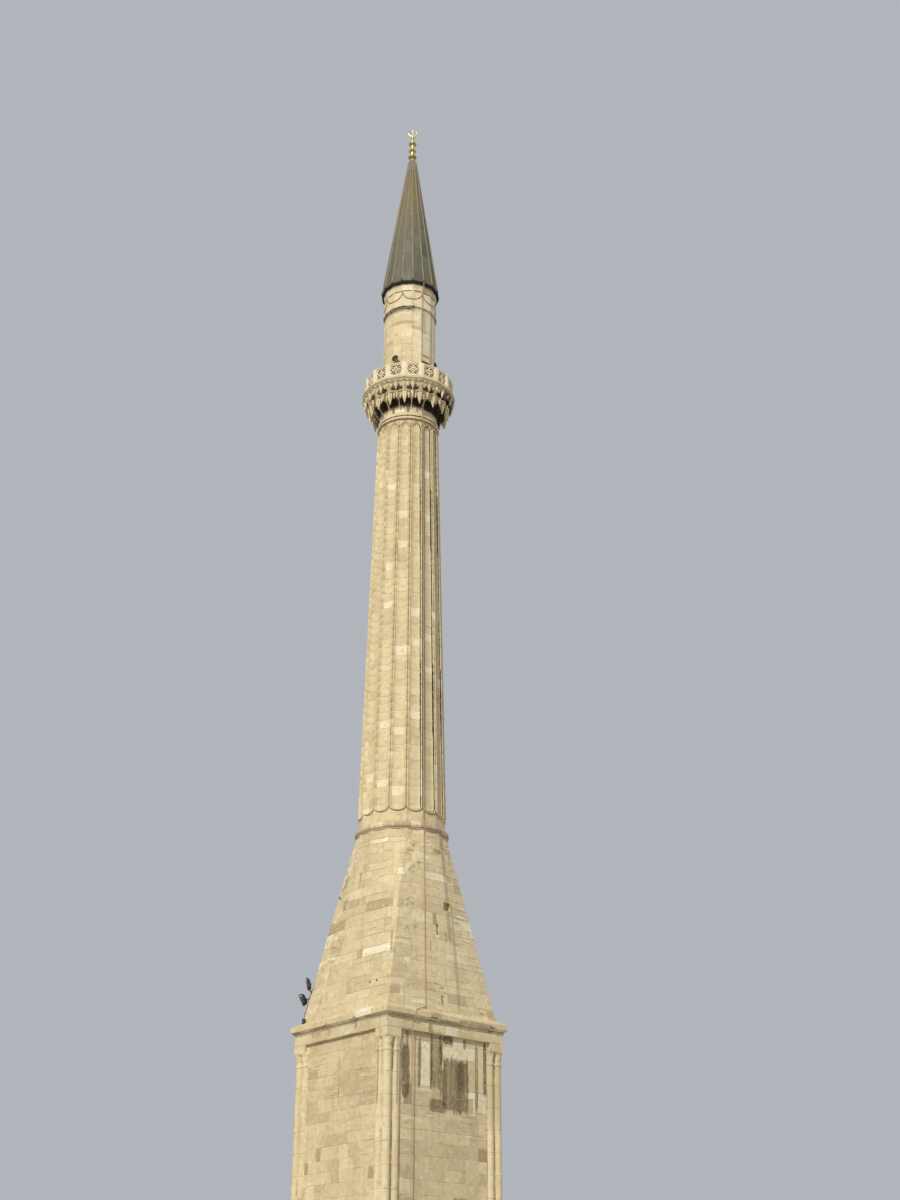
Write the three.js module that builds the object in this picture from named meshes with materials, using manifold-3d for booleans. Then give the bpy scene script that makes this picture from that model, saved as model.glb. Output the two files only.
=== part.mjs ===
// A fluted stone minaret with one balcony, as a scale model at 1:2. Every length is in
// millimetres of the model, so the real tower is twice as large. +Z is up, the ground is at
// z = 0, and the origin is the centre of the square base. The front is -Y, the right is +X.

import * as THREE from 'three';
import { mergeVertices } from 'three/addons/utils/BufferGeometryUtils.js';
import Module from 'manifold-3d';

// Square base
const BASE_HALF = 1430;
const PANEL_RECESS = 60;
const BASE_WELL_HALF = 700;
const FLOOR_THICKNESS = 150;
const PLINTH_TOP = 500;
const IMPOST_WIDTH = 325;
const COLONNETTE_RADIUS = 88;
const COLONNETTE_SHAFT_RADIUS = 76;
const COLONNETTE_SPACING = 195;
const COLONNETTE_SINK = 20;
const CAPITAL_BOTTOM = 6260;
const CAPITAL_TOP = 6435;
const IMPOST_TOP = 6605;
const BASE_TOP = 6790;
const DOOR_HALF_WIDTH = 260;
const DOOR_HEIGHT = 1150;

// Base cornice
const CORNICE_HALF = 1502;
const CORNICE_EDGE_BOTTOM = 6870;
const CORNICE_EDGE_TOP = 6965;

// Transition from the square base to the sixteen-sided shaft
const PYRAMID_FOOT = 7050;
const PYRAMID_HALF = 1336;
const PYRAMID_TOP = 10715;
const PYRAMID_TOP_RADIUS = 940;
const CREASE_SHARE = 0.33;
const PYRAMID_LEVELS = 6;
const WELL_RADIUS = 620;
const SLIT_WIDTH = 50;
const SLIT_HEIGHT = 210;
const BROKEN_STONE = { depth: [980, 1250], y: 290, z: 9180, halfWidth: 95, halfHeight: 85 };

// Ring moulding under the shaft
const RING_TOP = 10875;
const RING_RADIUS = 960;

// Fluted shaft
const SIDES = 16;
const SIDE_ANGLE = 2 * Math.PI / SIDES;
const SHAFT_TOP = 20500;
const SHAFT_FOOT_RADIUS = 915;
const SHAFT_TOP_RADIUS = 697;
const SHAFT_TOP_WELL_RADIUS = 430;
const FLUTE_FOOT = 11090;
const FLUTE_HEAD = 20465;
const FLUTE_DEPTH = 26;
const FLUTE_FOOT_HALF = 128;
const FLUTE_TOP_HALF = 96;

// Neck and balcony corbel
const NECK_RADIUS = 655;
const NECK_MOULDING_RADIUS = 716;
const CORBEL_FOOT = 20790;
const CORBEL_MIDDLE = 21125;
const CORBEL_TOP = 21340;
const LOWER_PENDANT_RADIUS = 890;
const UPPER_PENDANT_RADIUS = 965;
const CORBEL_TOP_RADIUS = 1068;

// Balcony
const BALCONY_FLOOR_TOP = 21430;
const BALCONY_RADIUS = 1092;
const PARAPET_RADIUS = 1026;
const PARAPET_HEIGHT = 400;
const PARAPET_THICKNESS = 62;
const POST_HALF_WIDTH = 66;
const POST_PROJECTION = 14;

// Upper shaft and its cornice
const UPPER_RADIUS = 613;
const UPPER_WELL_RADIUS = 385;
const UPPER_TOP = 24155;
const BAND_Z = 23690;
const BAND_HEIGHT = 60;
const BAND_PROJECTION = 14;
const BALCONY_DOOR_HALF_WIDTH = 112;
const BALCONY_DOOR_HEIGHT = 760;
const BALCONY_DOOR_ANGLE = 90;
const EAVE_CORNICE_TOP = 24352;
const EAVE_CORNICE_RADIUS = 668;

// Lead-covered cone
const CONE_FOOT = 24352;
const CONE_EDGE_TOP = 24398;
const CONE_RADIUS = 684;
const CONE_TOP = 28615;
const CONE_TOP_RADIUS = 84;
const CONE_WALL = 75;

// Finial
const FINIAL_TOP = 30000;
const FINIAL_BULBS_TOP = 29438;
const CRESCENT_CENTRE = 29556;
const CRESCENT_OUTER = 118;
const CRESCENT_THICKNESS = 26;
const CRESCENT_TURN = 49;
const NEEDLE_RADIUS = 6;
const NEEDLE_BALL = 29800;

// Fittings
const HORN_ANGLE = 22.5;
const HORN_HEIGHT = 22190;
const HORN_MOUTH_RADIUS = 96;
const LAMP_BRACKET_HEIGHT = 7600;
const LAMP_HALF_WIDTH = 75;
const LAMP_ARM_RADIUS = 9;
const LAMP_PLATE = { halfWidth: 14, depth: 16, halfHeight: 120 };
const LAMPS = [
  { reach: 1790, height: 7810, length: 250, depth: 70, lean: 12, aside: 95, armRise: 60 },
  { reach: 1915, height: 7550, length: 240, depth: 110, lean: 26, aside: -95, armRise: -40 },
];
const CONDUCTOR_RADIUS = 9;
const CONDUCTOR_ANGLE = 78.75;
const CONDUCTOR_BASE_Y = -829;

// Clearance left where a piece is cut from its neighbour, and how far a cutting body passes
// the faces of the piece it cuts
const GAP = 0.3;
const PAST = 1;
const FAR = 3000;

const DEGREE = Math.PI / 180;
const wasm = await Module();
wasm.setup();

const STONE = { color: 0xcfc3a2, roughness: 0.88, metalness: 0 };
const PALE_STONE = { color: 0xdbd1b4, roughness: 0.86, metalness: 0 };
const LEAD = { color: 0x6f7069, roughness: 0.6, metalness: 0.35 };
const GILT = { color: 0xd9a43a, roughness: 0.28, metalness: 1 };
const GREY_PAINT = { color: 0xb9b8b0, roughness: 0.5, metalness: 0.1 };
const BLACK_PAINT = { color: 0x23242a, roughness: 0.45, metalness: 0.3 };
const RUSTY_STEEL = { color: 0x6d4636, roughness: 0.8, metalness: 0.2 };

const minaret = new THREE.Group();

// A closed mesh turned into a solid that can be joined and cut
function solidOf(geometry) {
  const bare = geometry.clone();
  bare.deleteAttribute('normal');
  bare.deleteAttribute('uv');
  const merged = mergeVertices(bare, 0.01);
  return new wasm.Manifold(new wasm.Mesh({
    numProp: 3,
    vertProperties: new Float32Array(merged.attributes.position.array),
    triVerts: new Uint32Array(merged.index.array),
  }));
}

// A named sub-part made from a solid
function addPart(name, solid, finish) {
  const mesh = solid.getMesh();
  const geometry = new THREE.BufferGeometry();
  geometry.setAttribute('position', new THREE.BufferAttribute(mesh.vertProperties, 3));
  geometry.setIndex(new THREE.BufferAttribute(mesh.triVerts, 1));
  geometry.computeVertexNormals();
  const part = new THREE.Mesh(geometry, new THREE.MeshStandardMaterial(finish));
  part.name = name;
  minaret.add(part);
}

// The direction at an angle measured from the front towards the right side
function bearing(degrees) {
  return [Math.sin(degrees * DEGREE), -Math.cos(degrees * DEGREE)];
}

// A block between two corners
function block(low, high) {
  const size = high.map((value, axis) => value - low[axis]);
  const box = new THREE.BoxGeometry(...size);
  box.translate(...high.map((value, axis) => (value + low[axis]) / 2));
  return solidOf(box);
}

// An upright prism over a plan outline
function prism(outline, foot, top) {
  const shape = new THREE.Shape(outline.map(([x, y]) => new THREE.Vector2(x, y)));
  const body = new THREE.ExtrudeGeometry(shape, { depth: top - foot, bevelEnabled: false });
  body.translate(0, 0, foot);
  return solidOf(body);
}

// A body turned about the tower's axis from a profile of radius and height, with its
// corners at 11.25 degrees from the front, so that flat sides face the four fronts
function turned(profile, sides, startDegrees = 11.25) {
  const points = profile.map(([radius, height]) => new THREE.Vector2(radius, height));
  const body = new THREE.LatheGeometry(points, sides, startDegrees * DEGREE);
  body.rotateX(Math.PI / 2);
  return solidOf(body);
}

// A ring of flat sides between an outer and an inner radius that both change with height
function taperedRing(outerFoot, outerTop, innerFoot, innerTop, foot, top) {
  return turned([
    [innerFoot, foot], [outerFoot, foot], [outerTop, top], [innerTop, top], [innerFoot, foot],
  ], SIDES);
}

// A solid skinned through level plan outlines that all have the same number of points
function skinned(outlines) {
  const count = outlines[0].points.length;
  const positions = outlines.flatMap(({ z, points }) => points.flatMap(([x, y]) => [x, y, z]));
  const index = [];
  for (let level = 0; level + 1 < outlines.length; level++) {
    for (let i = 0; i < count; i++) {
      const j = (i + 1) % count;
      const low = level * count;
      const high = low + count;
      index.push(low + i, low + j, high + j, low + i, high + j, high + i);
    }
  }
  const last = (outlines.length - 1) * count;
  for (let i = 1; i + 1 < count; i++) {
    index.push(0, i + 1, i);
    index.push(last, last + i, last + i + 1);
  }
  const body = new THREE.BufferGeometry();
  body.setAttribute('position', new THREE.Float32BufferAttribute(positions, 3));
  body.setIndex(index);
  return solidOf(withoutSlivers(body));
}

// The same geometry without the triangles whose corners coincide
function withoutSlivers(geometry) {
  const merged = mergeVertices(geometry, 0.01);
  const old = merged.index.array;
  const kept = [];
  for (let i = 0; i < old.length; i += 3) {
    const [a, b, c] = [old[i], old[i + 1], old[i + 2]];
    if (a !== b && b !== c && c !== a) {
      kept.push(a, b, c);
    }
  }
  merged.setIndex(kept);
  return merged;
}

// The wedge of the plan between two bearings, as a tall solid with half a gap at each side
function wedge(fromDegrees, toDegrees, foot, top) {
  const middle = bearing((fromDegrees + toDegrees) / 2);
  const half = (toDegrees - fromDegrees) / 2 * DEGREE;
  const inset = GAP / 2 / Math.sin(half);
  const apex = middle.map((value) => value * inset);
  const far = [fromDegrees, toDegrees].map((degrees) => {
    const way = bearing(degrees);
    return [apex[0] + way[0] * FAR, apex[1] + way[1] * FAR];
  });
  return prism([apex, far[0], far[1]], foot, top);
}

const QUARTERS = [['front', 0], ['right', 90], ['back', 180], ['left', 270]];

// Floor and walls of the base, between the four corner pillars
addPart('base_floor', block(
  [GAP - BASE_WELL_HALF, GAP - BASE_WELL_HALF, 0],
  [BASE_WELL_HALF - GAP, BASE_WELL_HALF - GAP, FLOOR_THICKNESS],
), STONE);

const panelFace = BASE_HALF - PANEL_RECESS;
const wallReach = BASE_WELL_HALF - GAP;

// One wall that faces the front, with its plinth and its frieze, before it is turned
function plainWall() {
  const body = block([-wallReach, -panelFace, 0], [wallReach, -BASE_WELL_HALF, BASE_TOP]);
  const plinth = block([-wallReach, -BASE_HALF, 0], [wallReach, -BASE_WELL_HALF, PLINTH_TOP]);
  const frieze = block([-wallReach, -BASE_HALF, IMPOST_TOP], [wallReach, -BASE_WELL_HALF, BASE_TOP]);
  return body.add(plinth).add(frieze);
}

addPart('front_wall', plainWall(), STONE);
addPart('right_wall', plainWall().rotate([0, 0, 90]), STONE);
addPart('left_wall', plainWall().rotate([0, 0, -90]), STONE);

// The back wall is split beside and over the entrance
const backWall = plainWall().rotate([0, 0, 180]);
addPart('back_wall_left', backWall.intersect(
  block([DOOR_HALF_WIDTH, 0, -PAST], [FAR, FAR, BASE_TOP + PAST])), STONE);
addPart('back_wall_right', backWall.intersect(
  block([-FAR, 0, -PAST], [-DOOR_HALF_WIDTH, FAR, BASE_TOP + PAST])), STONE);
addPart('back_wall_over_door', backWall.intersect(
  block([GAP - DOOR_HALF_WIDTH, 0, DOOR_HEIGHT], [DOOR_HALF_WIDTH - GAP, FAR, BASE_TOP + PAST])), STONE);

// A corner pillar: the masonry of the corner, with three engaged colonnettes that stand on
// the plinth and carry one impost block
function cornerPillar() {
  const well = BASE_WELL_HALF;
  const axis = BASE_HALF - COLONNETTE_RADIUS;
  const impost = BASE_HALF - IMPOST_WIDTH;
  let pillar = block([well, -panelFace, 0], [panelFace, -well, BASE_TOP])
    .add(block([well, -BASE_HALF, 0], [BASE_HALF, -well, PLINTH_TOP]))
    .add(block([impost, -BASE_HALF, CAPITAL_TOP], [BASE_HALF, -impost, BASE_TOP]))
    .add(block([well, -BASE_HALF, IMPOST_TOP], [BASE_HALF, -well, BASE_TOP]));
  const foot = PLINTH_TOP - COLONNETTE_SINK;
  const top = CAPITAL_TOP + COLONNETTE_SINK;
  const profile = [
    [0, foot], [COLONNETTE_RADIUS, foot], [COLONNETTE_RADIUS, PLINTH_TOP + 70],
    [COLONNETTE_SHAFT_RADIUS, PLINTH_TOP + 100], [COLONNETTE_SHAFT_RADIUS, CAPITAL_BOTTOM],
    [COLONNETTE_RADIUS - 1, CAPITAL_BOTTOM + 40], [COLONNETTE_RADIUS - 1, top], [0, top],
  ];
  for (const [back, aside] of [[0, 0], [COLONNETTE_SPACING, 0], [0, COLONNETTE_SPACING]]) {
    pillar = pillar.add(turned(profile, 12, 15).translate([axis - back, aside - axis, 0]));
  }
  return pillar;
}
for (const [turn, corner] of ['front_right', 'back_right', 'back_left', 'front_left'].entries()) {
  addPart(`corner_pillar_${corner}`, cornerPillar().rotate([0, 0, 90 * turn]), PALE_STONE);
}

// A level square outline of a given half side
function square(half) {
  return [[half, -half], [half, half], [-half, half], [-half, -half]];
}

// Cornice of the base: a cavetto, an upright edge and a sloping top, with the stair well open
const cornice = skinned([
  { z: BASE_TOP, points: square(BASE_HALF + 4) },
  { z: BASE_TOP + 45, points: square(BASE_HALF + 24) },
  { z: CORNICE_EDGE_BOTTOM, points: square(CORNICE_HALF) },
  { z: CORNICE_EDGE_TOP, points: square(CORNICE_HALF) },
  { z: PYRAMID_FOOT, points: square(PYRAMID_HALF + 12) },
]);
const corniceWell = block(
  [-BASE_WELL_HALF, -BASE_WELL_HALF, BASE_TOP - PAST],
  [BASE_WELL_HALF, BASE_WELL_HALF, PYRAMID_FOOT + PAST],
);
addPart('base_cornice', cornice.subtract(corniceWell), STONE);

// The sixteen corners of a level outline part of the way up the transition, where 0 is its
// square foot and 1 its sixteen-sided top
function transitionOutline(share) {
  return Array.from({ length: SIDES }, (_, k) => {
    const degrees = (k + 0.5) * 360 / SIDES;
    const [topX, topY] = bearing(degrees).map((value) => value * PYRAMID_TOP_RADIUS);
    const nearCorner = k % 4 === 1 || k % 4 === 2;
    const [cx, cy] = [Math.sign(topX) * PYRAMID_HALF, Math.sign(topY) * PYRAMID_HALF];
    const alongFront = Math.abs(topY) > Math.abs(topX);
    const footX = nearCorner || !alongFront ? cx : cx * CREASE_SHARE;
    const footY = nearCorner || alongFront ? cy : cy * CREASE_SHARE;
    return [footX + (topX - footX) * share, footY + (topY - footY) * share];
  });
}

const transitionLevels = Array.from({ length: PYRAMID_LEVELS + 1 }, (_, level) => ({
  z: PYRAMID_FOOT + (PYRAMID_TOP - PYRAMID_FOOT) * level / PYRAMID_LEVELS,
  points: transitionOutline(level / PYRAMID_LEVELS),
}));
const stairWell = taperedRing(
  WELL_RADIUS, WELL_RADIUS, 0, 0, PYRAMID_FOOT - PAST, PYRAMID_TOP + PAST,
);
let transition = skinned(transitionLevels).subtract(stairWell);

// Window slits that light the stair, as a facing and the height of the foot
const SLITS = [[0, 9645], [90, 8565], [180, 9645], [270, 8565]];
for (const [facing, height] of SLITS) {
  const slit = block(
    [-SLIT_WIDTH / 2, -PYRAMID_HALF, height],
    [SLIT_WIDTH / 2, 0, height + SLIT_HEIGHT],
  );
  transition = transition.subtract(slit.rotate([0, 0, facing]));
}
const brokenStone = block(
  [BROKEN_STONE.depth[0], BROKEN_STONE.y - BROKEN_STONE.halfWidth, BROKEN_STONE.z - BROKEN_STONE.halfHeight],
  [BROKEN_STONE.depth[1], BROKEN_STONE.y + BROKEN_STONE.halfWidth, BROKEN_STONE.z + BROKEN_STONE.halfHeight],
);
transition = transition.subtract(brokenStone);
for (const [side, facing] of QUARTERS) {
  addPart(`transition_${side}`, transition.intersect(
    wedge(facing - 45, facing + 45, PYRAMID_FOOT - PAST, PYRAMID_TOP + PAST)), STONE);
}

// Round ring moulding between the transition and the shaft
const ringMiddle = (PYRAMID_TOP + RING_TOP) / 2;
const ringHalf = (RING_TOP - PYRAMID_TOP) / 2;
const ringProfile = [[WELL_RADIUS, PYRAMID_TOP], [RING_RADIUS - ringHalf, PYRAMID_TOP]];
for (const degrees of [-50, -15, 15, 50]) {
  ringProfile.push([
    RING_RADIUS - ringHalf + ringHalf * Math.cos(degrees * DEGREE),
    ringMiddle + ringHalf * Math.sin(degrees * DEGREE),
  ]);
}
ringProfile.push([RING_RADIUS - ringHalf, RING_TOP], [WELL_RADIUS, RING_TOP], ringProfile[0]);
addPart('ring_moulding', turned(ringProfile, 2 * SIDES), PALE_STONE);

// The distance from the axis to the middle of a flat side of the shaft
function shaftFace(height) {
  const share = (height - RING_TOP) / (SHAFT_TOP - RING_TOP);
  const corner = SHAFT_FOOT_RADIUS + (SHAFT_TOP_RADIUS - SHAFT_FOOT_RADIUS) * share;
  return corner * Math.cos(SIDE_ANGLE / 2);
}

// A flute that narrows upwards, with a round foot and a pointed head
function fluteOutline() {
  const shape = new THREE.Shape();
  const springing = FLUTE_HEAD - 1.35 * FLUTE_TOP_HALF;
  shape.moveTo(-FLUTE_FOOT_HALF, FLUTE_FOOT + FLUTE_FOOT_HALF);
  shape.absarc(0, FLUTE_FOOT + FLUTE_FOOT_HALF, FLUTE_FOOT_HALF, Math.PI, 2 * Math.PI);
  shape.lineTo(FLUTE_TOP_HALF, springing);
  shape.quadraticCurveTo(FLUTE_TOP_HALF, springing + 90, 0, FLUTE_HEAD);
  shape.quadraticCurveTo(-FLUTE_TOP_HALF, springing + 90, -FLUTE_TOP_HALF, springing);
  return shape;
}

// Fluted shaft
const shaft = taperedRing(
  SHAFT_FOOT_RADIUS, SHAFT_TOP_RADIUS, WELL_RADIUS, SHAFT_TOP_WELL_RADIUS, RING_TOP, SHAFT_TOP,
);
const fluteReach = 60;
const lean = Math.atan2(shaftFace(FLUTE_FOOT) - shaftFace(FLUTE_HEAD), FLUTE_HEAD - FLUTE_FOOT);
const fluteBody = new THREE.ExtrudeGeometry(fluteOutline(), {
  depth: FLUTE_DEPTH + fluteReach, bevelEnabled: false, curveSegments: 4,
});
fluteBody.translate(0, -FLUTE_FOOT, -FLUTE_DEPTH);
fluteBody.rotateX(Math.PI / 2 - lean);
fluteBody.translate(0, -shaftFace(FLUTE_FOOT), FLUTE_FOOT);
const flute = solidOf(fluteBody);
let fluted = shaft;
for (let side = 0; side < SIDES; side++) {
  fluted = fluted.subtract(flute.rotate([0, 0, side * 360 / SIDES]));
}
for (const [side, facing] of QUARTERS) {
  addPart(`shaft_${side}`, fluted.intersect(
    wedge(facing - 45, facing + 45, RING_TOP - PAST, SHAFT_TOP + PAST)), STONE);
}

// Thin double moulding and plain neck on top of the flutes
addPart('neck_moulding', turned([
  [SHAFT_TOP_WELL_RADIUS, SHAFT_TOP], [SHAFT_TOP_RADIUS + 6, SHAFT_TOP],
  [SHAFT_TOP_RADIUS + 6, SHAFT_TOP + 30], [SHAFT_TOP_RADIUS - 14, SHAFT_TOP + 50],
  [SHAFT_TOP_RADIUS - 8, SHAFT_TOP + 110], [NECK_MOULDING_RADIUS, SHAFT_TOP + 130],
  [NECK_MOULDING_RADIUS, SHAFT_TOP + 175], [NECK_RADIUS, SHAFT_TOP + 205],
  [NECK_RADIUS, CORBEL_FOOT], [SHAFT_TOP_WELL_RADIUS, CORBEL_FOOT], [SHAFT_TOP_WELL_RADIUS, SHAFT_TOP],
], SIDES), PALE_STONE);

// A star-shaped level outline whose radius alternates between pendants and hollows, with a
// pendant at the front when the turn is nil
function starOutline(pendantRadius, hollowRadius, turnSteps) {
  return Array.from({ length: 2 * SIDES }, (_, k) => {
    const radius = (k + turnSteps) % 2 === 0 ? pendantRadius : hollowRadius;
    return bearing(k * 180 / SIDES).map((value) => value * radius);
  });
}

// One tier of the stalactite corbel, bored for the stair
function corbelTier(levels, turnSteps) {
  const tier = skinned(levels.map(([z, pendant, hollow]) => (
    { z, points: starOutline(pendant, hollow, turnSteps) }
  )));
  const foot = levels[0][0];
  const top = levels[levels.length - 1][0];
  return tier.subtract(taperedRing(
    SHAFT_TOP_WELL_RADIUS, SHAFT_TOP_WELL_RADIUS, 0, 0, foot - PAST, top + PAST));
}
addPart('corbel_lower_tier', corbelTier([
  [CORBEL_FOOT, NECK_RADIUS, NECK_RADIUS],
  [CORBEL_FOOT + 70, LOWER_PENDANT_RADIUS, NECK_RADIUS + 20],
  [CORBEL_FOOT + 200, LOWER_PENDANT_RADIUS + 25, 790],
  [CORBEL_MIDDLE, 940, 925],
], 0), PALE_STONE);
addPart('corbel_upper_tier', corbelTier([
  [CORBEL_MIDDLE, 930, 935],
  [CORBEL_MIDDLE + 25, UPPER_PENDANT_RADIUS, 935],
  [CORBEL_MIDDLE + 120, UPPER_PENDANT_RADIUS + 45, 975],
  [CORBEL_TOP, CORBEL_TOP_RADIUS, CORBEL_TOP_RADIUS],
], 1), PALE_STONE);

// Balcony floor with a stepped edge, its corners at the parapet posts
const floorMiddle = (CORBEL_TOP + BALCONY_FLOOR_TOP) / 2;
addPart('balcony_floor', turned([
  [UPPER_WELL_RADIUS, CORBEL_TOP], [BALCONY_RADIUS - 18, CORBEL_TOP],
  [BALCONY_RADIUS - 18, floorMiddle], [BALCONY_RADIUS, floorMiddle + 8],
  [BALCONY_RADIUS, BALCONY_FLOOR_TOP], [UPPER_WELL_RADIUS, BALCONY_FLOOR_TOP],
  [UPPER_WELL_RADIUS, CORBEL_TOP],
], SIDES, 0), PALE_STONE);

// Parapet of sixteen slabs between posts, two bays in each piece
const parapetTop = BALCONY_FLOOR_TOP + PARAPET_HEIGHT;
const parapetRing = turned([
  [PARAPET_RADIUS - PARAPET_THICKNESS, BALCONY_FLOOR_TOP], [PARAPET_RADIUS, BALCONY_FLOOR_TOP],
  [PARAPET_RADIUS, parapetTop], [PARAPET_RADIUS - PARAPET_THICKNESS, parapetTop],
  [PARAPET_RADIUS - PARAPET_THICKNESS, BALCONY_FLOOR_TOP],
], SIDES, 0);
const post = block(
  [-POST_HALF_WIDTH, -PARAPET_RADIUS - POST_PROJECTION, BALCONY_FLOOR_TOP],
  [POST_HALF_WIDTH, PARAPET_THICKNESS - PARAPET_RADIUS + POST_PROJECTION, parapetTop],
);
let parapet = parapetRing;
for (let side = 0; side < SIDES; side++) {
  parapet = parapet.add(post.rotate([0, 0, side * 360 / SIDES]));
}
for (let bay = 0; bay < SIDES / 2; bay++) {
  const from = (bay * 2 - 0.5) * 360 / SIDES;
  const to = from + 720 / SIDES;
  const piece = parapet.intersect(wedge(from, to, BALCONY_FLOOR_TOP - PAST, parapetTop + PAST));
  addPart(`parapet_bays_${bay + 1}`, piece, PALE_STONE);
}

// Upper shaft with its thin band, split beside and over the balcony doorway
const upperRing = taperedRing(
  UPPER_RADIUS, UPPER_RADIUS, UPPER_WELL_RADIUS, UPPER_WELL_RADIUS, BALCONY_FLOOR_TOP, UPPER_TOP,
);
const bandOuter = UPPER_RADIUS + BAND_PROJECTION;
const band = turned([
  [UPPER_WELL_RADIUS + 50, BAND_Z - BAND_HEIGHT / 2], [bandOuter, BAND_Z - BAND_HEIGHT / 2],
  [bandOuter, BAND_Z + BAND_HEIGHT / 2], [UPPER_WELL_RADIUS + 50, BAND_Z + BAND_HEIGHT / 2],
  [UPPER_WELL_RADIUS + 50, BAND_Z - BAND_HEIGHT / 2],
], SIDES);
const upperShaft = upperRing.add(band);
const upperQuarter = (facing) => (
  upperShaft.intersect(wedge(facing - 45, facing + 45, BALCONY_FLOOR_TOP - PAST, UPPER_TOP + PAST))
);
addPart('upper_shaft_front', upperQuarter(0), PALE_STONE);
addPart('upper_shaft_back', upperQuarter(180), PALE_STONE);
addPart('upper_shaft_left', upperQuarter(270), PALE_STONE);

const doorTop = BALCONY_FLOOR_TOP + BALCONY_DOOR_HEIGHT;
// The part of the doorway quarter on one side of the doorway's middle line
function besideDoor(sign) {
  const near = sign > 0 ? BALCONY_DOOR_HALF_WIDTH : -FAR;
  const far = sign > 0 ? FAR : -BALCONY_DOOR_HALF_WIDTH;
  return block([near, -FAR, BALCONY_FLOOR_TOP - PAST], [far, 0, doorTop - GAP])
    .rotate([0, 0, BALCONY_DOOR_ANGLE]);
}
const overDoor = block([-FAR, -FAR, doorTop], [FAR, FAR, UPPER_TOP + PAST]);
addPart('upper_shaft_door_left', upperQuarter(90).intersect(besideDoor(-1)), PALE_STONE);
addPart('upper_shaft_door_right', upperQuarter(90).intersect(besideDoor(1)), PALE_STONE);
addPart('upper_shaft_over_door', upperQuarter(90).intersect(overDoor), PALE_STONE);

// Flaring cornice under the eave
addPart('eave_cornice', turned([
  [UPPER_WELL_RADIUS, UPPER_TOP], [UPPER_RADIUS + 6, UPPER_TOP], [UPPER_RADIUS + 6, UPPER_TOP + 55],
  [UPPER_RADIUS + 22, UPPER_TOP + 110], [EAVE_CORNICE_RADIUS, UPPER_TOP + 150],
  [EAVE_CORNICE_RADIUS, EAVE_CORNICE_TOP], [UPPER_WELL_RADIUS, EAVE_CORNICE_TOP],
  [UPPER_WELL_RADIUS, UPPER_TOP],
], SIDES), PALE_STONE);

// Lead-covered cone, hollow up to a solid tip
const coneHollowTop = CONE_FOOT + (CONE_TOP - CONE_FOOT) * 0.82;
addPart('cone', turned([
  [CONE_RADIUS - CONE_WALL - 20, CONE_FOOT], [CONE_RADIUS, CONE_FOOT], [CONE_RADIUS, CONE_EDGE_TOP],
  [CONE_RADIUS - 10, CONE_EDGE_TOP + 8], [CONE_TOP_RADIUS, CONE_TOP], [0, CONE_TOP],
  [0, coneHollowTop], [CONE_RADIUS - CONE_WALL - 20, CONE_FOOT],
], SIDES), LEAD);

// Gilded finial of turned bulbs and thin collars, with a plain needle above the crescent
const FINIAL_PROFILE = [
  [0, CONE_TOP], [62, CONE_TOP], [66, 28650], [50, 28700], [34, 28718], [105, 28745], [105, 28768],
  [34, 28800], [30, 28880], [38, 28925], [90, 28945], [90, 28968], [34, 28995], [26, 29080],
  [30, 29130], [70, 29155], [96, 29185], [70, 29215], [30, 29245], [16, 29290], [16, 29350],
  [30, 29380], [34, 29410], [20, FINIAL_BULBS_TOP], [0, FINIAL_BULBS_TOP],
];
addPart('finial', turned(FINIAL_PROFILE, 12, 15), GILT);

// Crescent that opens upwards, with a thin needle through it
const crescentArc = new THREE.Shape();
const opening = 50 * DEGREE;
const inner = CRESCENT_OUTER - CRESCENT_THICKNESS;
crescentArc.absarc(0, 0, CRESCENT_OUTER, Math.PI / 2 + opening, 2.5 * Math.PI - opening);
crescentArc.absarc(0, CRESCENT_THICKNESS * 0.8, inner, opening, Math.PI - opening, true);
const crescentBody = new THREE.ExtrudeGeometry(crescentArc, {
  depth: CRESCENT_THICKNESS, bevelEnabled: false, curveSegments: 12,
});
crescentBody.translate(0, 0, -CRESCENT_THICKNESS / 2);
crescentBody.rotateX(Math.PI / 2);
crescentBody.translate(0, 0, CRESCENT_CENTRE);
const needle = turned([
  [0, FINIAL_BULBS_TOP], [NEEDLE_RADIUS, FINIAL_BULBS_TOP], [NEEDLE_RADIUS, NEEDLE_BALL - 14],
  [13, NEEDLE_BALL], [NEEDLE_RADIUS, NEEDLE_BALL + 14], [2, FINIAL_TOP], [0, FINIAL_TOP],
], 8);
addPart('crescent', solidOf(crescentBody).rotate([0, 0, CRESCENT_TURN]).add(needle), GILT);

// A round rod between two points
function rod(from, to, radius) {
  const start = new THREE.Vector3(...from);
  const end = new THREE.Vector3(...to);
  const body = new THREE.CylinderGeometry(radius, radius, start.distanceTo(end) + radius, 8);
  const way = end.clone().sub(start).normalize();
  body.applyQuaternion(new THREE.Quaternion().setFromUnitVectors(new THREE.Vector3(0, 1, 0), way));
  body.translate(...start.add(end).multiplyScalar(0.5).toArray());
  return solidOf(body);
}

// A run of rods joined end to end
function rodRun(points, radius) {
  let run = rod(points[0], points[1], radius);
  for (let i = 2; i < points.length; i++) {
    run = run.add(rod(points[i - 1], points[i], radius));
  }
  return run;
}

// Horn loudspeakers on the upper shaft, each a flared horn on a bracket, mouth outwards
const upperFace = UPPER_RADIUS * Math.cos(SIDE_ANGLE / 2);
const hornProfile = [
  [0, 0], [18, 0], [18, 12], [42, 14], [42, 40], [26, 46], [36, 66], [60, 86],
  [HORN_MOUTH_RADIUS, 102], [HORN_MOUTH_RADIUS - 7, 104], [54, 88], [30, 70], [16, 58], [0, 56],
];
for (const [index, side] of ['front', 'right', 'back', 'left'].entries()) {
  const horn = turned(hornProfile, 12)
    .rotate([90, 0, 0])
    .translate([0, -upperFace - GAP, HORN_HEIGHT])
    .rotate([0, 0, HORN_ANGLE + 90 * index]);
  addPart(`loudspeaker_${side}`, horn, GREY_PAINT);
}

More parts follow.
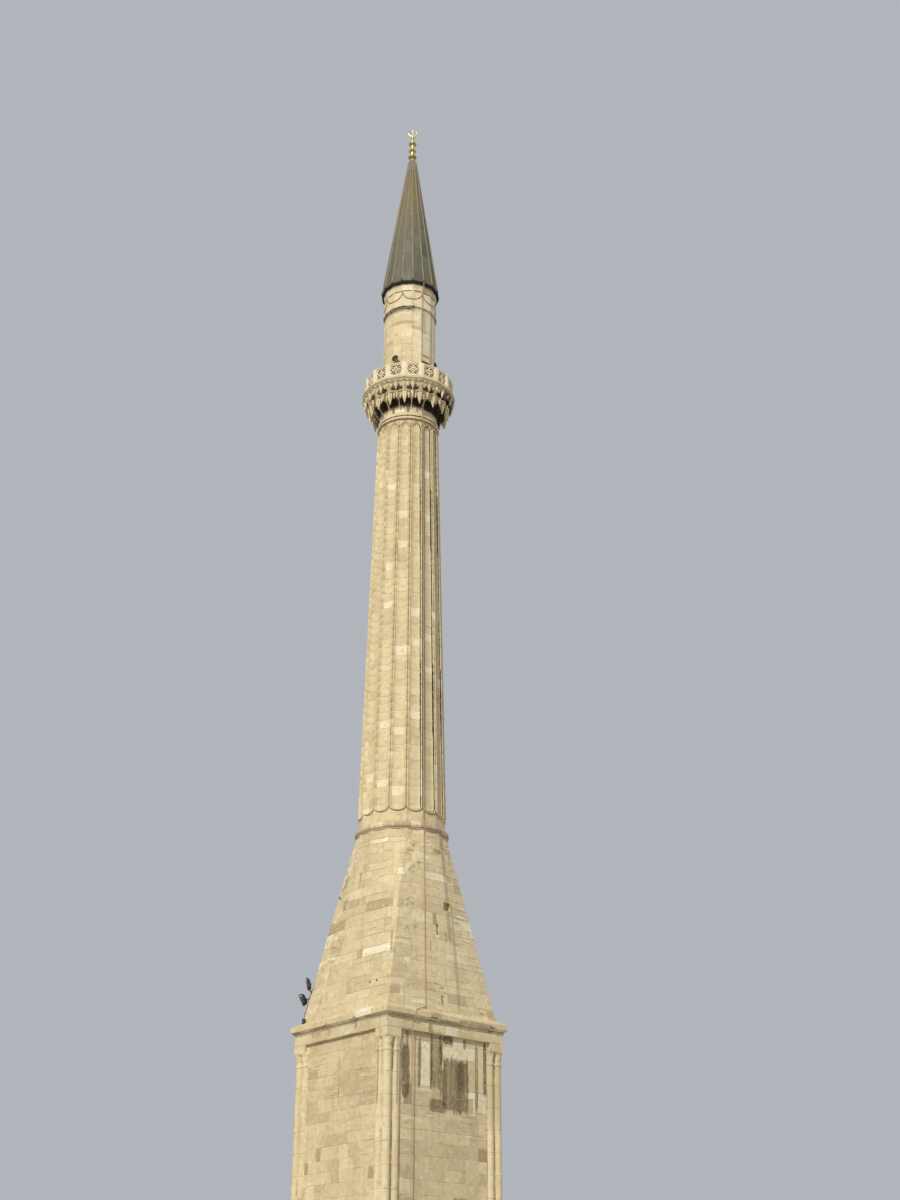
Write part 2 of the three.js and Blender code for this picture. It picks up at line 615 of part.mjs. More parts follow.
// Two floodlights on bent arms, fixed to the front left edge of the transition
const edgeTop = PYRAMID_TOP_RADIUS * Math.cos(SIDE_ANGLE / 2);
const edgeFoot = PYRAMID_HALF * Math.SQRT2;
const edgeLean = Math.atan2(edgeFoot - edgeTop, PYRAMID_TOP - PYRAMID_FOOT) / DEGREE;
const edgeAt = (height) => (
  edgeFoot - (edgeFoot - edgeTop) * (height - PYRAMID_FOOT) / (PYRAMID_TOP - PYRAMID_FOOT)
);
const plate = block(
  [-LAMP_PLATE.halfWidth, -LAMP_PLATE.depth, -LAMP_PLATE.halfHeight],
  [LAMP_PLATE.halfWidth, 0, LAMP_PLATE.halfHeight],
)
  .rotate([-edgeLean, 0, 0])
  .translate([0, -edgeAt(LAMP_BRACKET_HEIGHT) - 2 * GAP, LAMP_BRACKET_HEIGHT]);
let lamps = plate;
for (const lamp of LAMPS) {
  const housing = block(
    [-LAMP_HALF_WIDTH, -lamp.depth / 2, -lamp.length / 2],
    [LAMP_HALF_WIDTH, lamp.depth / 2, lamp.length / 2],
  )
    .rotate([-lamp.lean, 0, 0])
    .translate([lamp.aside, -lamp.reach, lamp.height]);
  const armFoot = LAMP_BRACKET_HEIGHT + lamp.armRise;
  const armStart = [lamp.aside * 0.1, -edgeAt(armFoot) - LAMP_PLATE.depth - PAST, armFoot];
  const armEnd = [lamp.aside, -lamp.reach, lamp.height];
  lamps = lamps.add(housing).add(rod(armStart, armEnd, LAMP_ARM_RADIUS));
}
addPart('floodlights', lamps.rotate([0, 0, -45]), BLACK_PAINT);

// Lightning conductor, a covered cable that follows one arris of the tower
const off = CONDUCTOR_RADIUS + 1;
const along = (radius, height) => {
  const [x, y] = bearing(CONDUCTOR_ANGLE);
  return [x * (radius + off), y * (radius + off), height];
};
const creaseAt = (share) => {
  const [x, y] = transitionOutline(share)[3];
  return [x + 1.4 * off, y - 0.2 * off, PYRAMID_FOOT + (PYRAMID_TOP - PYRAMID_FOOT) * share];
};
addPart('lightning_conductor_lower', rodRun([
  [BASE_HALF + off, CONDUCTOR_BASE_Y, CONDUCTOR_RADIUS],
  [BASE_HALF + off, CONDUCTOR_BASE_Y, BASE_TOP - 20],
  [CORNICE_HALF + off, CONDUCTOR_BASE_Y + 25, CORNICE_EDGE_BOTTOM - 20],
  [CORNICE_HALF + off, CONDUCTOR_BASE_Y + 30, CORNICE_EDGE_TOP + off],
  creaseAt(0.012),
  creaseAt(0.975),
  along(RING_RADIUS, PYRAMID_TOP - 10),
  along(RING_RADIUS, RING_TOP + 10),
  along(SHAFT_FOOT_RADIUS, RING_TOP + 60),
  along(SHAFT_TOP_RADIUS + 3, SHAFT_TOP - 60),
  along(NECK_MOULDING_RADIUS, SHAFT_TOP - 10),
  along(NECK_MOULDING_RADIUS, SHAFT_TOP + 190),
  along(NECK_RADIUS, SHAFT_TOP + 240),
  along(NECK_RADIUS, CORBEL_FOOT - CONDUCTOR_RADIUS),
], CONDUCTOR_RADIUS), RUSTY_STEEL);
addPart('lightning_conductor_upper', rodRun([
  along(UPPER_RADIUS, BALCONY_FLOOR_TOP + CONDUCTOR_RADIUS),
  along(UPPER_RADIUS, BAND_Z - 60),
  along(bandOuter, BAND_Z - 35),
  along(bandOuter, BAND_Z + 35),
  along(UPPER_RADIUS + 8, BAND_Z + 70),
  along(UPPER_RADIUS + 8, UPPER_TOP + 55),
  along(EAVE_CORNICE_RADIUS, UPPER_TOP + 120),
  along(CONE_RADIUS, CONE_FOOT - 20),
  along(CONE_RADIUS, CONE_EDGE_TOP + 6),
  along(CONE_TOP_RADIUS + 2, CONE_TOP - 14),
], CONDUCTOR_RADIUS), RUSTY_STEEL);

export default minaret;
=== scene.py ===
import math

import bpy
import numpy as np
from mathutils import Matrix


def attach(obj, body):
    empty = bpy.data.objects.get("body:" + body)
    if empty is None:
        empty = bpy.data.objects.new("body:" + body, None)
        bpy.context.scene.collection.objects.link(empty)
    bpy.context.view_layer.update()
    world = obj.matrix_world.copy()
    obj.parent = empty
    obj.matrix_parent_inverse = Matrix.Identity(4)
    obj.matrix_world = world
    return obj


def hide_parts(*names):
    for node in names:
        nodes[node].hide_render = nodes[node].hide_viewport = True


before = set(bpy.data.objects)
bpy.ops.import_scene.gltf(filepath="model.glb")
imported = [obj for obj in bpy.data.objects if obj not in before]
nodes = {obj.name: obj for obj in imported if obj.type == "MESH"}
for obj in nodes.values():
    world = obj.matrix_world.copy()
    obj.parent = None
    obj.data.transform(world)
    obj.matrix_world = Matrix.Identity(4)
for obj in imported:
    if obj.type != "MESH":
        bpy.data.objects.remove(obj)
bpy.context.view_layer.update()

# Base walls. Each side of the square base is a recessed panel of squared cream limestone laid
# in courses in lime mortar, on a taller plinth course and under a flush frieze. Some stones
# are paler repairs, and rain has left dark streaks down the right side.
BASE_HALF = 1.43
PANEL_FACE = 1.37
PLINTH_TOP = 0.5
IMPOST_TOP = 6.605
BASE_TOP = 6.79
IMPOST_WIDTH = 0.325
PANEL_EDGE = 1.052
DOOR_HALF_WIDTH = 0.26
DOOR_HEIGHT = 1.15
SIDE_FACINGS = (0, 90, 180, 270)
BASE_COURSE = 0.215
PANEL_STONE = 0.55
PLINTH_STONE = 0.42
PANEL_PROUD = (0.002, 0.006)
PLINTH_PROUD = 0.006
# What a joint takes off the left, right, foot and top of a stone
STONE_GAP = np.array([0.002, -0.002, 0.002, -0.002])
# Joints of the tall upright slabs on the right side, across and up
UPRIGHT_JOINTS = (-PANEL_EDGE, -0.835, -0.575, -0.345, -0.055, 0.205, 0.595, 0.8, PANEL_EDGE)
UPRIGHT_FOOT = 5.645
UPRIGHT_MIDDLE_TOP = 6.215
UPRIGHT_TOP = 6.45

UP = np.array([0, 0, 1.0])
base_random = np.random.default_rng(11)


def outward(facing):
    """The level direction that a side faces, by its angle from the front to the right."""
    angle = np.radians(facing)
    return np.stack([np.sin(angle), -np.cos(angle), 0 * angle], -1)


def facing_of(points):
    """The angle at which points lie round the tower, from the front to the right."""
    return np.degrees(np.arctan2(points[:, 0], -points[:, 1]))


def sideways(facing):
    """The level direction to the right of someone who looks at a side from outside."""
    return outward(np.asarray(facing) + 90)


def on_side(facing, distance):
    """Points on an upright face at a distance from the tower's axis."""
    def place(across, out, up):
        level = across[..., None] * sideways(facing) + (distance + out)[..., None] * outward(facing)
        return level + up[..., None] * UP
    return place


def courses(foot, top, height, random, uneven=0.12):
    """Heights of the joints of a wall, a little uneven."""
    count = max(1, round((top - foot) / height))
    inner = np.arange(1, count) + random.uniform(-uneven, uneven, count - 1)
    return np.concatenate([[0], inner, [count]]) * (top - foot) / count + foot


def without(span, hole):
    """What is left of a rectangle when another is cut out of it."""
    left, right, foot, top = span
    if hole[1] <= left or hole[0] >= right or hole[3] <= foot or hole[2] >= top:
        return [span]
    inner_left, inner_right = max(left, hole[0]), min(right, hole[1])
    rests = ((left, hole[0], foot, top), (hole[1], right, foot, top),
             (inner_left, inner_right, foot, hole[2]), (inner_left, inner_right, hole[3], top))
    return [rest for rest in rests if rest[0] < rest[1] and rest[2] < rest[3]]


def bond(left, right, joints, length, random, holes):
    """Stones of random length between the edges of a face, course by course, a little apart.
    Holes, as left, right, foot and top, are left open."""
    spans = []
    for foot, top in zip(joints[:-1], joints[1:]):
        count = max(1, round((right - left) / length * random.uniform(0.85, 1.15)))
        cuts = np.arange(1, count) + random.uniform(-0.32, 0.32, count - 1)
        cuts = np.concatenate([[0], cuts + random.choice((-0.25, 0.25)), [count]])
        cuts = np.clip(cuts / count, 0, 1) * (right - left) + left
        for a, b in zip(cuts[:-1], cuts[1:]):
            pieces = [(a, b, foot, top)]
            for hole in holes:
                pieces = [part for whole in pieces for part in without(whole, hole)]
            spans += pieces
    spans = np.array(spans) + STONE_GAP
    return spans[(spans[:, 1] - spans[:, 0] > 0.02) & (spans[:, 3] - spans[:, 2] > 0.02)]


def tall_stones(joints, holes, random, likely):
    """Stones two courses tall on one side: the lower joint's number and two shares of the
    width. They are rare enough not to meet, and keep off the holes."""
    chosen = []
    for index in range(len(joints) - 2):
        free = not any(d > joints[index] and c < joints[index + 2] for *_, c, d in holes)
        left, share = random.uniform(0.08, 0.5), random.uniform(0.28, 0.42)
        if random.uniform() < likely and free and (not chosen or chosen[-1][0] < index - 1):
            chosen.append((index, left, left + share))
    return chosen


def stone_tones(count, random, pale=0.1, brown=0.06):
    """Random tones: most stones near the middle, some pale repairs and some brown ones."""
    tones = 0.48 + 0.13 * random.standard_normal(count)
    kind = random.uniform(0, 1, count)
    tones = np.where(kind < pale, random.uniform(0.88, 1.0, count), tones)
    tones = np.where(kind > 1 - brown, random.uniform(0.02, 0.2, count), tones)
    return np.clip(tones, 0, 1)


def grid_triangles(rows, columns, round_rows=False, round_columns=False):
    """Two triangles for each cell of a grid whose points are listed row by row. They face
    the viewer for whom columns run to the right and rows run up."""
    row = np.arange(rows if round_rows else rows - 1)[:, None]
    column = np.arange(columns if round_columns else columns - 1)[None, :]
    here = row * columns + column
    right = row * columns + (column + 1) % columns
    above = (row + 1) % rows * columns + column
    corner = (row + 1) % rows * columns + (column + 1) % columns
    cells = np.stack([here, right, corner, here, corner, above], -1)
    return cells.reshape(-1, 3)


def blocks(place, spans, tones, proud, lip=0.0, seat=0.004, edge=0.005, arris=(False, False)):
    """Closed stones on a face. A span is left, right, foot and top; place(across, out, up)
    gives the points. A stone is a grid of four by four points whose inner ones stand proud
    and whose outer ones lie at the lip, one ring more at the seat behind, and a back fan.
    A side that lies on an arris of the face, left or right, stands proud up to its edge."""
    count = len(spans)
    ring = np.array([0, 1, 2, 2, 1, 0])
    sides = np.tile(ring, (count, 1))
    for column, on_arris in zip((1, 4), arris):
        sides[:, column] += on_arris
    depth = np.minimum(ring[None, :, None], sides[:, None, :])
    left, right, foot, top = spans.T
    across = np.stack([left, left, left + edge, right - edge, right, right], -1)[:, None] + 0 * depth
    up = np.stack([foot, foot, foot + edge, top - edge, top, top], -1)[..., None] + 0 * depth
    out = np.choose(depth, [-seat, lip, proud[:, None, None]])
    points = place(across, out, up)
    centre = points[:, [0, 0, 5, 5], [0, 5, 0, 5]].mean(1)[:, None]
    points = np.concatenate([points.reshape(count, 36, 3), centre], 1)
    rim = np.concatenate([np.arange(0, 5), np.arange(5, 35, 6), np.arange(35, 30, -1), np.arange(30, 0, -6)])
    back = np.stack([np.roll(rim, -1), rim, np.full(20, 36)], -1)
    triangles = np.concatenate([grid_triangles(6, 6), back]) + 37 * np.arange(count)[:, None, None]
    return points.reshape(-1, 3), triangles.reshape(-1, 3), np.repeat(tones, 70)


# Pale repairs of the right side: middle across and up, and how near to it stones are pale
PALE_REPAIRS = ((0.5, 6.35, 0.24), (-0.32, 5.53, 0.24), (0.95, 5.5, 0.2), (-0.46, 6.05, 0.05),
                (0.7, 6.05, 0.05))
panel_joints = courses(PLINTH_TOP, IMPOST_TOP, BASE_COURSE, base_random)
base_parts = []
for facing in SIDE_FACINGS:
    door = [(-DOOR_HALF_WIDTH, DOOR_HALF_WIDTH, 0, DOOR_HEIGHT)] if facing == 180 else []
    panel = on_side(facing, PANEL_FACE)
    joints = panel_joints if facing != 90 else np.append(panel_joints[panel_joints < UPRIGHT_FOOT - 0.1],
                                                         UPRIGHT_FOOT)
    tall = np.array([((2 * (number + share) / 3 - 1) * PANEL_EDGE, (2 * (number + end) / 3 - 1) * PANEL_EDGE,
                      joints[index], joints[index + 2])
                     for number in range(3)
                     for index, share, end in tall_stones(joints, door, base_random, likely=0.4)])
    spans = bond(-PANEL_EDGE, PANEL_EDGE, joints, PANEL_STONE, base_random, [*door, *tall])
    spans = np.concatenate([spans, tall + STONE_GAP])
    if facing == 90:
        upright = np.array([(a, b, UPRIGHT_FOOT, UPRIGHT_TOP if b < 0.3 or a > 0.7 else UPRIGHT_MIDDLE_TOP)
                            for a, b in zip(UPRIGHT_JOINTS[:-1], UPRIGHT_JOINTS[1:])])
        above = np.array([(0.205, 0.8, UPRIGHT_MIDDLE_TOP, UPRIGHT_TOP)]
                         + [(a, b, UPRIGHT_TOP, IMPOST_TOP) for a, b in
                            ((-PANEL_EDGE, -0.345), (-0.345, 0.205), (0.205, 0.5), (0.5, PANEL_EDGE))])
        spans = np.concatenate([spans, upright + STONE_GAP, above + STONE_GAP])
    tones = stone_tones(len(spans), base_random, pale=0.05, brown=0.04) - 0.1
    for across, up, near in PALE_REPAIRS if facing == 90 else ():
        tones[np.hypot(spans[:, :2].mean(1) - across, spans[:, 2:].mean(1) - up) < near] = 0.97
    base_parts.append(blocks(panel, spans, tones, base_random.uniform(*PANEL_PROUD, len(spans))))
    front = on_side(facing, BASE_HALF)
    for reach, joints in ((BASE_HALF - 0.004, (0, PLINTH_TOP / 2, PLINTH_TOP)),
                          (BASE_HALF - IMPOST_WIDTH, (IMPOST_TOP, BASE_TOP))):
        spans = bond(-reach, reach, joints, PLINTH_STONE, base_random, door)
        tones = stone_tones(len(spans), base_random, pale=0.06)
        base_parts.append(blocks(front, spans, tones, np.full(len(spans), PLINTH_PROUD)))


def base_soot_and_shade(points):
    """A dark foot where the ground splashes, and painted shade along the foot of the frieze, where it stands
    out over the panels.
    """
    foot = 0.35 * np.exp(-points[:, 2] / 0.25)
    return foot + 0.22 * np.exp(-np.abs(IMPOST_TOP - points[:, 2]) / 0.1)


def linear(red, green, blue):
    """The linear colour of a colour given as three numbers of 0 to 255."""
    share = np.array([red, green, blue]) / 255
    low = share / 12.92
    high = ((share + 0.055) / 1.055) ** 2.4
    return (*np.where(share <= 0.04045, low, high), 1.0)


def new_finish(name):
    """A fresh material with the nodes and the two calls that the finishes are made with."""
    finish = bpy.data.materials.new(name)
    finish.use_nodes = True
    tree = finish.node_tree
    shader = tree.nodes["Principled BSDF"]

    def node(kind, inputs=(), **settings):
        made = tree.nodes.new("ShaderNode" + kind)
        for key, value in settings.items():
            setattr(made, key, value)
        for key, value in dict(inputs).items():
            if isinstance(value, bpy.types.NodeSocket):
                tree.links.new(value, made.inputs[key])
            else:
                made.inputs[key].default_value = value
        return made

    def link(socket, key):
        tree.links.new(socket, shader.inputs[key])

    return finish, shader, node, link


def attribute(node, name):
    """The value that a mesh carries under a name."""
    return node("Attribute", attribute_name=name).outputs["Fac"]


def noise(node, place, scale, detail, rough=0.55, stretch=(1, 1, 1)):
    """The strength of a cloudy pattern of a given fineness, drawn out along some axes. The
    pattern is turned, so that its grid never lies along a wall."""
    mapped = node("Mapping", {"Vector": place, "Scale": stretch, "Rotation": (0.4, 0.7, 0.2),
                              "Location": (3.1, 1.3, 5.7)}).outputs[0]
    return node("TexNoise", {"Vector": mapped, "Scale": scale, "Detail": detail,
                             "Roughness": rough}).outputs["Fac"]


def between(node, value, low, high, to_low=0.0, to_high=1.0):
    """A value carried smoothly from one range to another and kept inside it."""
    return node("MapRange", {"Value": value, "From Min": low, "From Max": high, "To Min": to_low,
                             "To Max": to_high}, interpolation_type="SMOOTHSTEP").outputs[0]


def mixed(node, share, first, second):
    """Two colours mixed by a share."""
    return node("Mix", {0: share, 6: first, 7: second}, data_type="RGBA").outputs[2]


def washed(node, colour, pattern, low, high, amount, wash):
    """A colour with another laid over it where a pattern runs from low to high."""
    return mixed(node, between(node, pattern, low, high, 0.0, amount), colour, wash)


def times(node, first, second, way="MULTIPLY"):
    """Two numbers multiplied, or joined in another way."""
    return node("Math", {0: first, 1: second}, operation=way).outputs[0]


def roughen(node, link, height, strength, distance):
    """Gives the surface a fine relief."""
    bump = node("Bump", {"Height": height, "Strength": strength, "Distance": distance})
    link(bump.outputs["Normal"], "Normal")


STONE_TONES = (
    (0.0, linear(162, 144, 110)),
    (0.12, linear(188, 170, 134)),
    (0.35, linear(206, 189, 150)),
    (0.6, linear(215, 198, 158)),
    (0.8, linear(221, 205, 166)),
    (0.93, linear(229, 215, 180)),
    (1.0, linear(238, 228, 200)),
)
# The soot colour serves real soot stains, and also painted shade wherever a piece's soot value is high.
STAIN_COLOURS = {"soot_and_shade": linear(58, 48, 36), "rust": linear(150, 84, 40), "moss": linear(112, 116, 74),
                 "pale": linear(238, 228, 200), "brown": linear(150, 126, 84), "grime": linear(84, 69, 42)}


def stone_finish(name, tones=STONE_TONES, streaks=0.35, grain=1.0, pointing=False, layers=0, stains=()):
    """Limestone: the tone of each stone, cloudy mottling, pits, rain streaks, soot and painted shade, and
    grain.
    Pointing is partly brown and partly pale instead. Layers are rough pale lines along the bed
    of the stone where its face has scaled off, in patches. A stain is a kind, a middle, half
    sizes and a strength: a box with round corners and a ragged edge."""
    finish, shader, node, link = new_finish(name)
    place = node("TexCoord").outputs["Object"]
    tone = attribute(node, "tone")
    soot_and_shade = attribute(node, "soot_and_shade")
    if pointing:
        tone = between(node, noise(node, place, 2.4, 6.0, 0.7), 0.4, 0.62)
    ramp = node("ValToRGB", {"Fac": tone})
    stops = ramp.color_ramp.elements
    stops[0].position, stops[0].color = tones[0]
    stops[1].position, stops[1].color = tones[-1]
    for position, colour in tones[1:-1]:
        stops.new(position).color = colour
    cloud = noise(node, place, 1.7, 5.0)
    mottle = noise(node, place, 11.0, 6.0, 0.6)
    speck = noise(node, place, 60.0, 4.0, 0.7)
    rain = noise(node, place, 1.0, 5.0, 0.6, (7.0, 7.0, 0.45))
    colour = ramp.outputs["Color"]
    colour = washed(node, colour, cloud, 0.35, 0.7, 0.3, linear(178, 158, 120))
    colour = washed(node, colour, mottle, 0.52, 0.75, 0.5, linear(232, 222, 196))
    colour = washed(node, colour, mottle, 0.5, 0.28, 0.45, linear(168, 148, 112))
    if layers:
        bed = noise(node, place, 1.0, 7.0, 0.75, (2.2, 2.2, 17.0))
        patch = between(node, noise(node, place, 1.1, 4.0), 0.46, 0.6, 0.0, layers)
        colour = mixed(node, times(node, patch, between(node, bed, 0.55, 0.64)), colour,
                       linear(243, 235, 212))
        colour = mixed(node, times(node, patch, between(node, bed, 0.44, 0.36)), colour,
                       linear(150, 130, 96))
        mottle = times(node, mottle, times(node, times(node, bed, patch), 1.2), "ADD")
    pits = between(node, speck, 0.66, 0.74)
    colour = mixed(node, times(node, pits, 0.55), colour, linear(120, 102, 74))
    streak = between(node, rain, 0.55, 0.78, 0.0, streaks)
    colour = mixed(node, streak, colour, linear(140, 124, 92))
    # The soot value darkens the stone towards the soot colour: soot, and painted shade in hollows, under
    # overhangs and on the shaded side.
    grime = between(node, times(node, soot_and_shade, between(node, mottle, 0.2, 0.75, 0.6, 1.35)),
                    0.08, 0.95)
    colour = mixed(node, grime, colour, STAIN_COLOURS["soot_and_shade"])
    if stains:
        drawn_out = node("Mapping", {"Vector": place, "Scale": (3.2, 3.2, 0.8)}).outputs[0]
        wander = node("TexNoise", {"Vector": drawn_out, "Scale": 8.0, "Detail": 6.0}).outputs["Color"]
        flaked = between(node, noise(node, place, 24.0, 6.0, 0.75), 0.56, 0.62, 1.0, 0.3)
        worn = times(node, times(node, flaked, between(node, rain, 0.36, 0.58, 0.7, 1.05)),
                     between(node, mottle, 0.25, 0.6, 0.5, 1.0))

    def vector(way, *values):
        return node("VectorMath", dict(enumerate(values)), operation=way).outputs

    for kind, middle, sizes, strength in stains:
        shifted = [m + 0.35 * s for m, s in zip(middle, sizes)]
        away = vector("DIVIDE", vector("SUBTRACT", place, shifted)[0], sizes)[0]
        away = vector("MULTIPLY_ADD", wander, (0.7, 0.7, 0.7), away)[0]
        away = vector("LENGTH", vector("MULTIPLY", away, away)[0])["Value"]
        share = times(node, between(node, away, 1.12, 0.86, 0.0, strength), worn)
        colour = mixed(node, share, colour, STAIN_COLOURS[kind])
    link(colour, "Base Color")
    link(between(node, mottle, 0.3, 0.7, 0.82, 0.96), "Roughness")
    shader.inputs["Specular IOR Level"].default_value = 0.25
    height = times(node, times(node, mottle, 0.6), times(node, pits, -0.5), "ADD")
    height = times(node, height, times(node, speck, 0.35), "ADD")
    roughen(node, link, height, 0.55 * grain, 0.012)
    return finish


# Stains of the right side: kind, middle across and up, half sizes, and strength
RIGHT_STAINS = (
    ("grime", -0.94, 5.87, 0.1, 0.47, 0.78), ("grime", -0.905, 6.46, 0.028, 0.17, 0.65),
    ("grime", -0.61, 6.05, 0.042, 0.44, 0.66), ("grime", -0.325, 6.12, 0.028, 0.52, 0.78),
    ("grime", -0.2, 6.12, 0.135, 0.5, 0.72), ("soot_and_shade", -0.085, 6.35, 0.045, 0.28, 0.65),
    ("grime", 0.27, 5.72, 0.34, 0.48, 0.74), ("soot_and_shade", 0.42, 5.9, 0.1, 0.3, 0.35),
    ("grime", -0.16, 5.32, 0.2, 0.12, 0.62), ("soot_and_shade", 0.09, 6.54, 0.13, 0.075, 0.8),
    ("soot_and_shade", 0.5, 6.51, 0.032, 0.1, 0.8), ("grime", 0.565, 5.75, 0.032, 0.52, 0.6),
    ("grime", 0.795, 5.9, 0.04, 0.6, 0.78), ("soot_and_shade", 1.01, 6.1, 0.04, 0.52, 0.85),
    ("pale", 0.08, 6.32, 0.12, 0.09, 0.6),
)
BASE_STAINS = [(kind, (PANEL_FACE, across, up), (0.3, wide, tall), strength)
               for kind, across, up, wide, tall, strength in RIGHT_STAINS] + [
    ("moss", (1.4, -0.4, 6.68), (0.3, 0.05, 0.1), 0.6),
    ("brown", (-0.32, -1.4, 6.74), (0.05, 0.3, 0.07), 0.6),
    ("brown", (0.5, -1.4, 6.75), (0.05, 0.3, 0.07), 0.6),
    ("brown", (-0.75, -1.4, 6.76), (0.15, 0.3, 0.06), 0.45),
    ("brown", (0.6, -1.37, 5.72), (0.62, 0.3, 0.24), 0.3),
    ("grime", (-0.055, -1.37, 5.88), (0.011, 0.3, 0.4), 0.7),
]
ashlar_finish = stone_finish("base_ashlar", layers=0.7, stains=BASE_STAINS)
mortar_finish = stone_finish("mortar", streaks=0.2, pointing=True)


def facing_out(points, triangles):
    """The triangles of a closed body, turned if need be so that they face out of it."""
    a, b, c = (points[triangles[:, k]] - points.mean(0) for k in range(3))
    return triangles if (a * np.cross(b, c)).sum() > 0 else triangles[:, ::-1]


def in_scene(name, data):
    """An object of the scene, made from its data."""
    made = bpy.data.objects.new(name, data)
    bpy.context.scene.collection.objects.link(made)
    return made


def piece(name, parts, finish, smooth=None, soot_and_shade=None):
    """Joins parts, each a set of points, triangles and one tone for each triangle, into one
    piece that rides on the tower. The soot and painted shade of a point come from a function
    of its place."""
    starts = np.cumsum([0] + [len(part[0]) for part in parts[:-1]])
    points = np.concatenate([part[0] for part in parts])
    triangles = np.concatenate([facing_out(*part[:2]) + start for part, start in zip(parts, starts)])
    tones = np.concatenate([np.broadcast_to(part[2], len(part[1])) for part in parts])
    mesh = bpy.data.meshes.new(name)
    mesh.vertices.add(len(points))
    mesh.vertices.foreach_set("co", points.astype(np.float32).ravel())
    mesh.loops.add(3 * len(triangles))
    mesh.loops.foreach_set("vertex_index", triangles.astype(np.int32).ravel())
    mesh.polygons.add(len(triangles))
    mesh.polygons.foreach_set("loop_start", np.arange(0, 3 * len(triangles), 3, dtype=np.int32))
    mesh.update(calc_edges=True)
    mesh.attributes.new("tone", "FLOAT", "FACE").data.foreach_set("value", tones.astype(np.float32))
    if soot_and_shade is not None:
        dark = np.clip(soot_and_shade(points), 0, 1).astype(np.float32)
        mesh.attributes.new("soot_and_shade", "FLOAT", "POINT").data.foreach_set("value", dark)
    if smooth is None:
        mesh.shade_flat()
    else:
        mesh.shade_smooth()
        mesh.set_sharp_from_angle(angle=math.radians(smooth))
    mesh.materials.append(finish)
    made = in_scene(name, mesh)
    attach(made, "root")
    return made


def finish_nodes(finish, *words):
    """Gives a finish to the plain solids behind a piece, whose names hold one of the words."""
    for name, solid in nodes.items():
        if any(word in name for word in words):
            solid.data.materials.clear()
            solid.data.materials.append(finish)


piece("base_stones", base_parts, ashlar_finish, soot_and_shade=base_soot_and_shade)
finish_nodes(mortar_finish, "wall", "pillar", "base_floor")


# Corner colonnettes. Three engaged round shafts stand on the plinth at each corner, built of
# drums, and carry small carved capitals under one flat impost block.
COLONNETTE_RADIUS = 0.088
COLONNETTE_SPACING = 0.195
CAPITAL_BOTTOM = 6.26
CAPITAL_TOP = 6.435
DRUM_HEIGHT = 0.42

CORNER_STAINS = (
    ("moss", (1.5, -0.31, 6.93), (0.2, 0.14, 0.08), 0.45),
    ("soot_and_shade", (1.5, -0.365, 6.85), (0.2, 0.1, 0.035), 0.95),
    ("soot_and_shade", (1.5, 0.7, 6.88), (0.2, 0.45, 0.05), 0.55),
    ("soot_and_shade", (1.5, 1.1, 6.84), (0.2, 0.08, 0.05), 0.8),
    ("soot_and_shade", (0.52, -1.5, 6.85), (0.05, 0.2, 0.05), 0.7),
    ("soot_and_shade", (-0.35, -1.5, 6.86), (0.04, 0.2, 0.05), 0.5),
    ("soot_and_shade", (1.4, -1.165, 5.8), (0.1, 0.02, 0.6), 0.6),
    ("soot_and_shade", (1.165, -1.4, 5.8), (0.02, 0.1, 0.6), 0.6),
    ("brown", (1.42, 1.2, 5.8), (0.12, 0.25, 0.8), 0.35),
)
dressed_finish = stone_finish("dressed_stone", streaks=0.3, stains=CORNER_STAINS)


def turned(profile, sides, tone=0.6, centre=(0.0, 0.0), shape=None, turn=0.0):
    """A closed turned body. The profile, in radius and height, runs from the axis at the foot,
    outside, to the axis at the top; its two ends are one point each, so the poles close.
    shape(angle, height) may swell or pinch the radius."""
    profile = np.array(profile, float)
    angles = np.arange(sides) * 2 * np.pi / sides + math.radians(turn)
    radius, height = (profile[1:-1, k, None] for k in range(2))
    grid = outward(np.degrees(angles)) * (radius * (1 if shape is None else shape(angles, height)))[..., None]
    grid = grid + np.array([*centre, 0.0])
    grid[..., 2] = height
    rows = len(profile) - 2
    around = np.arange(sides)
    after = (around + 1) % sides
    last = (rows - 1) * sides
    under = np.stack([np.full(sides, rows * sides), after, around], -1)
    over = np.stack([np.full(sides, rows * sides + 1), around + last, after + last], -1)
    ends = np.array([[*centre, profile[0, 1]], [*centre, profile[-1, 1]]])
    body = grid_triangles(rows, sides, round_columns=True)
    return np.concatenate([grid.reshape(-1, 3), ends]), np.concatenate([body, under, over]), tone


def drum_profile(radius, foot, top, count):
    """The outline of a round shaft of drums: straight, with a small notch at each joint."""
    rows = [(0.0, foot), (radius, foot)]
    for z in np.linspace(foot, top, count + 1)[1:-1]:
        rows += [(radius, z - 0.012), (radius - 0.006, z - 0.004), (radius - 0.006, z + 0.004),
                 (radius, z + 0.012)]
    return rows + [(radius, top), (0.0, top)]


def leaf_swell(angle, height):
    """A capital's carved leaves: eight round lobes that deepen towards the top, in two rows
    that stand against each other."""
    share = np.clip((height - CAPITAL_BOTTOM) / (CAPITAL_TOP - CAPITAL_BOTTOM), 0, 1)
    row = np.where(share > 0.52, np.pi / 8, 0.0)
    lobe = np.abs(np.cos(4 * (angle + row)))
    return 1 - 0.16 * share * (1 - lobe) - 0.05 * (np.sin(share * 4 * np.pi) < -0.5)


def raised(foot, profile):
    """A profile whose heights are given from its foot up."""
    return [(reach, foot + rise) for reach, rise in profile]


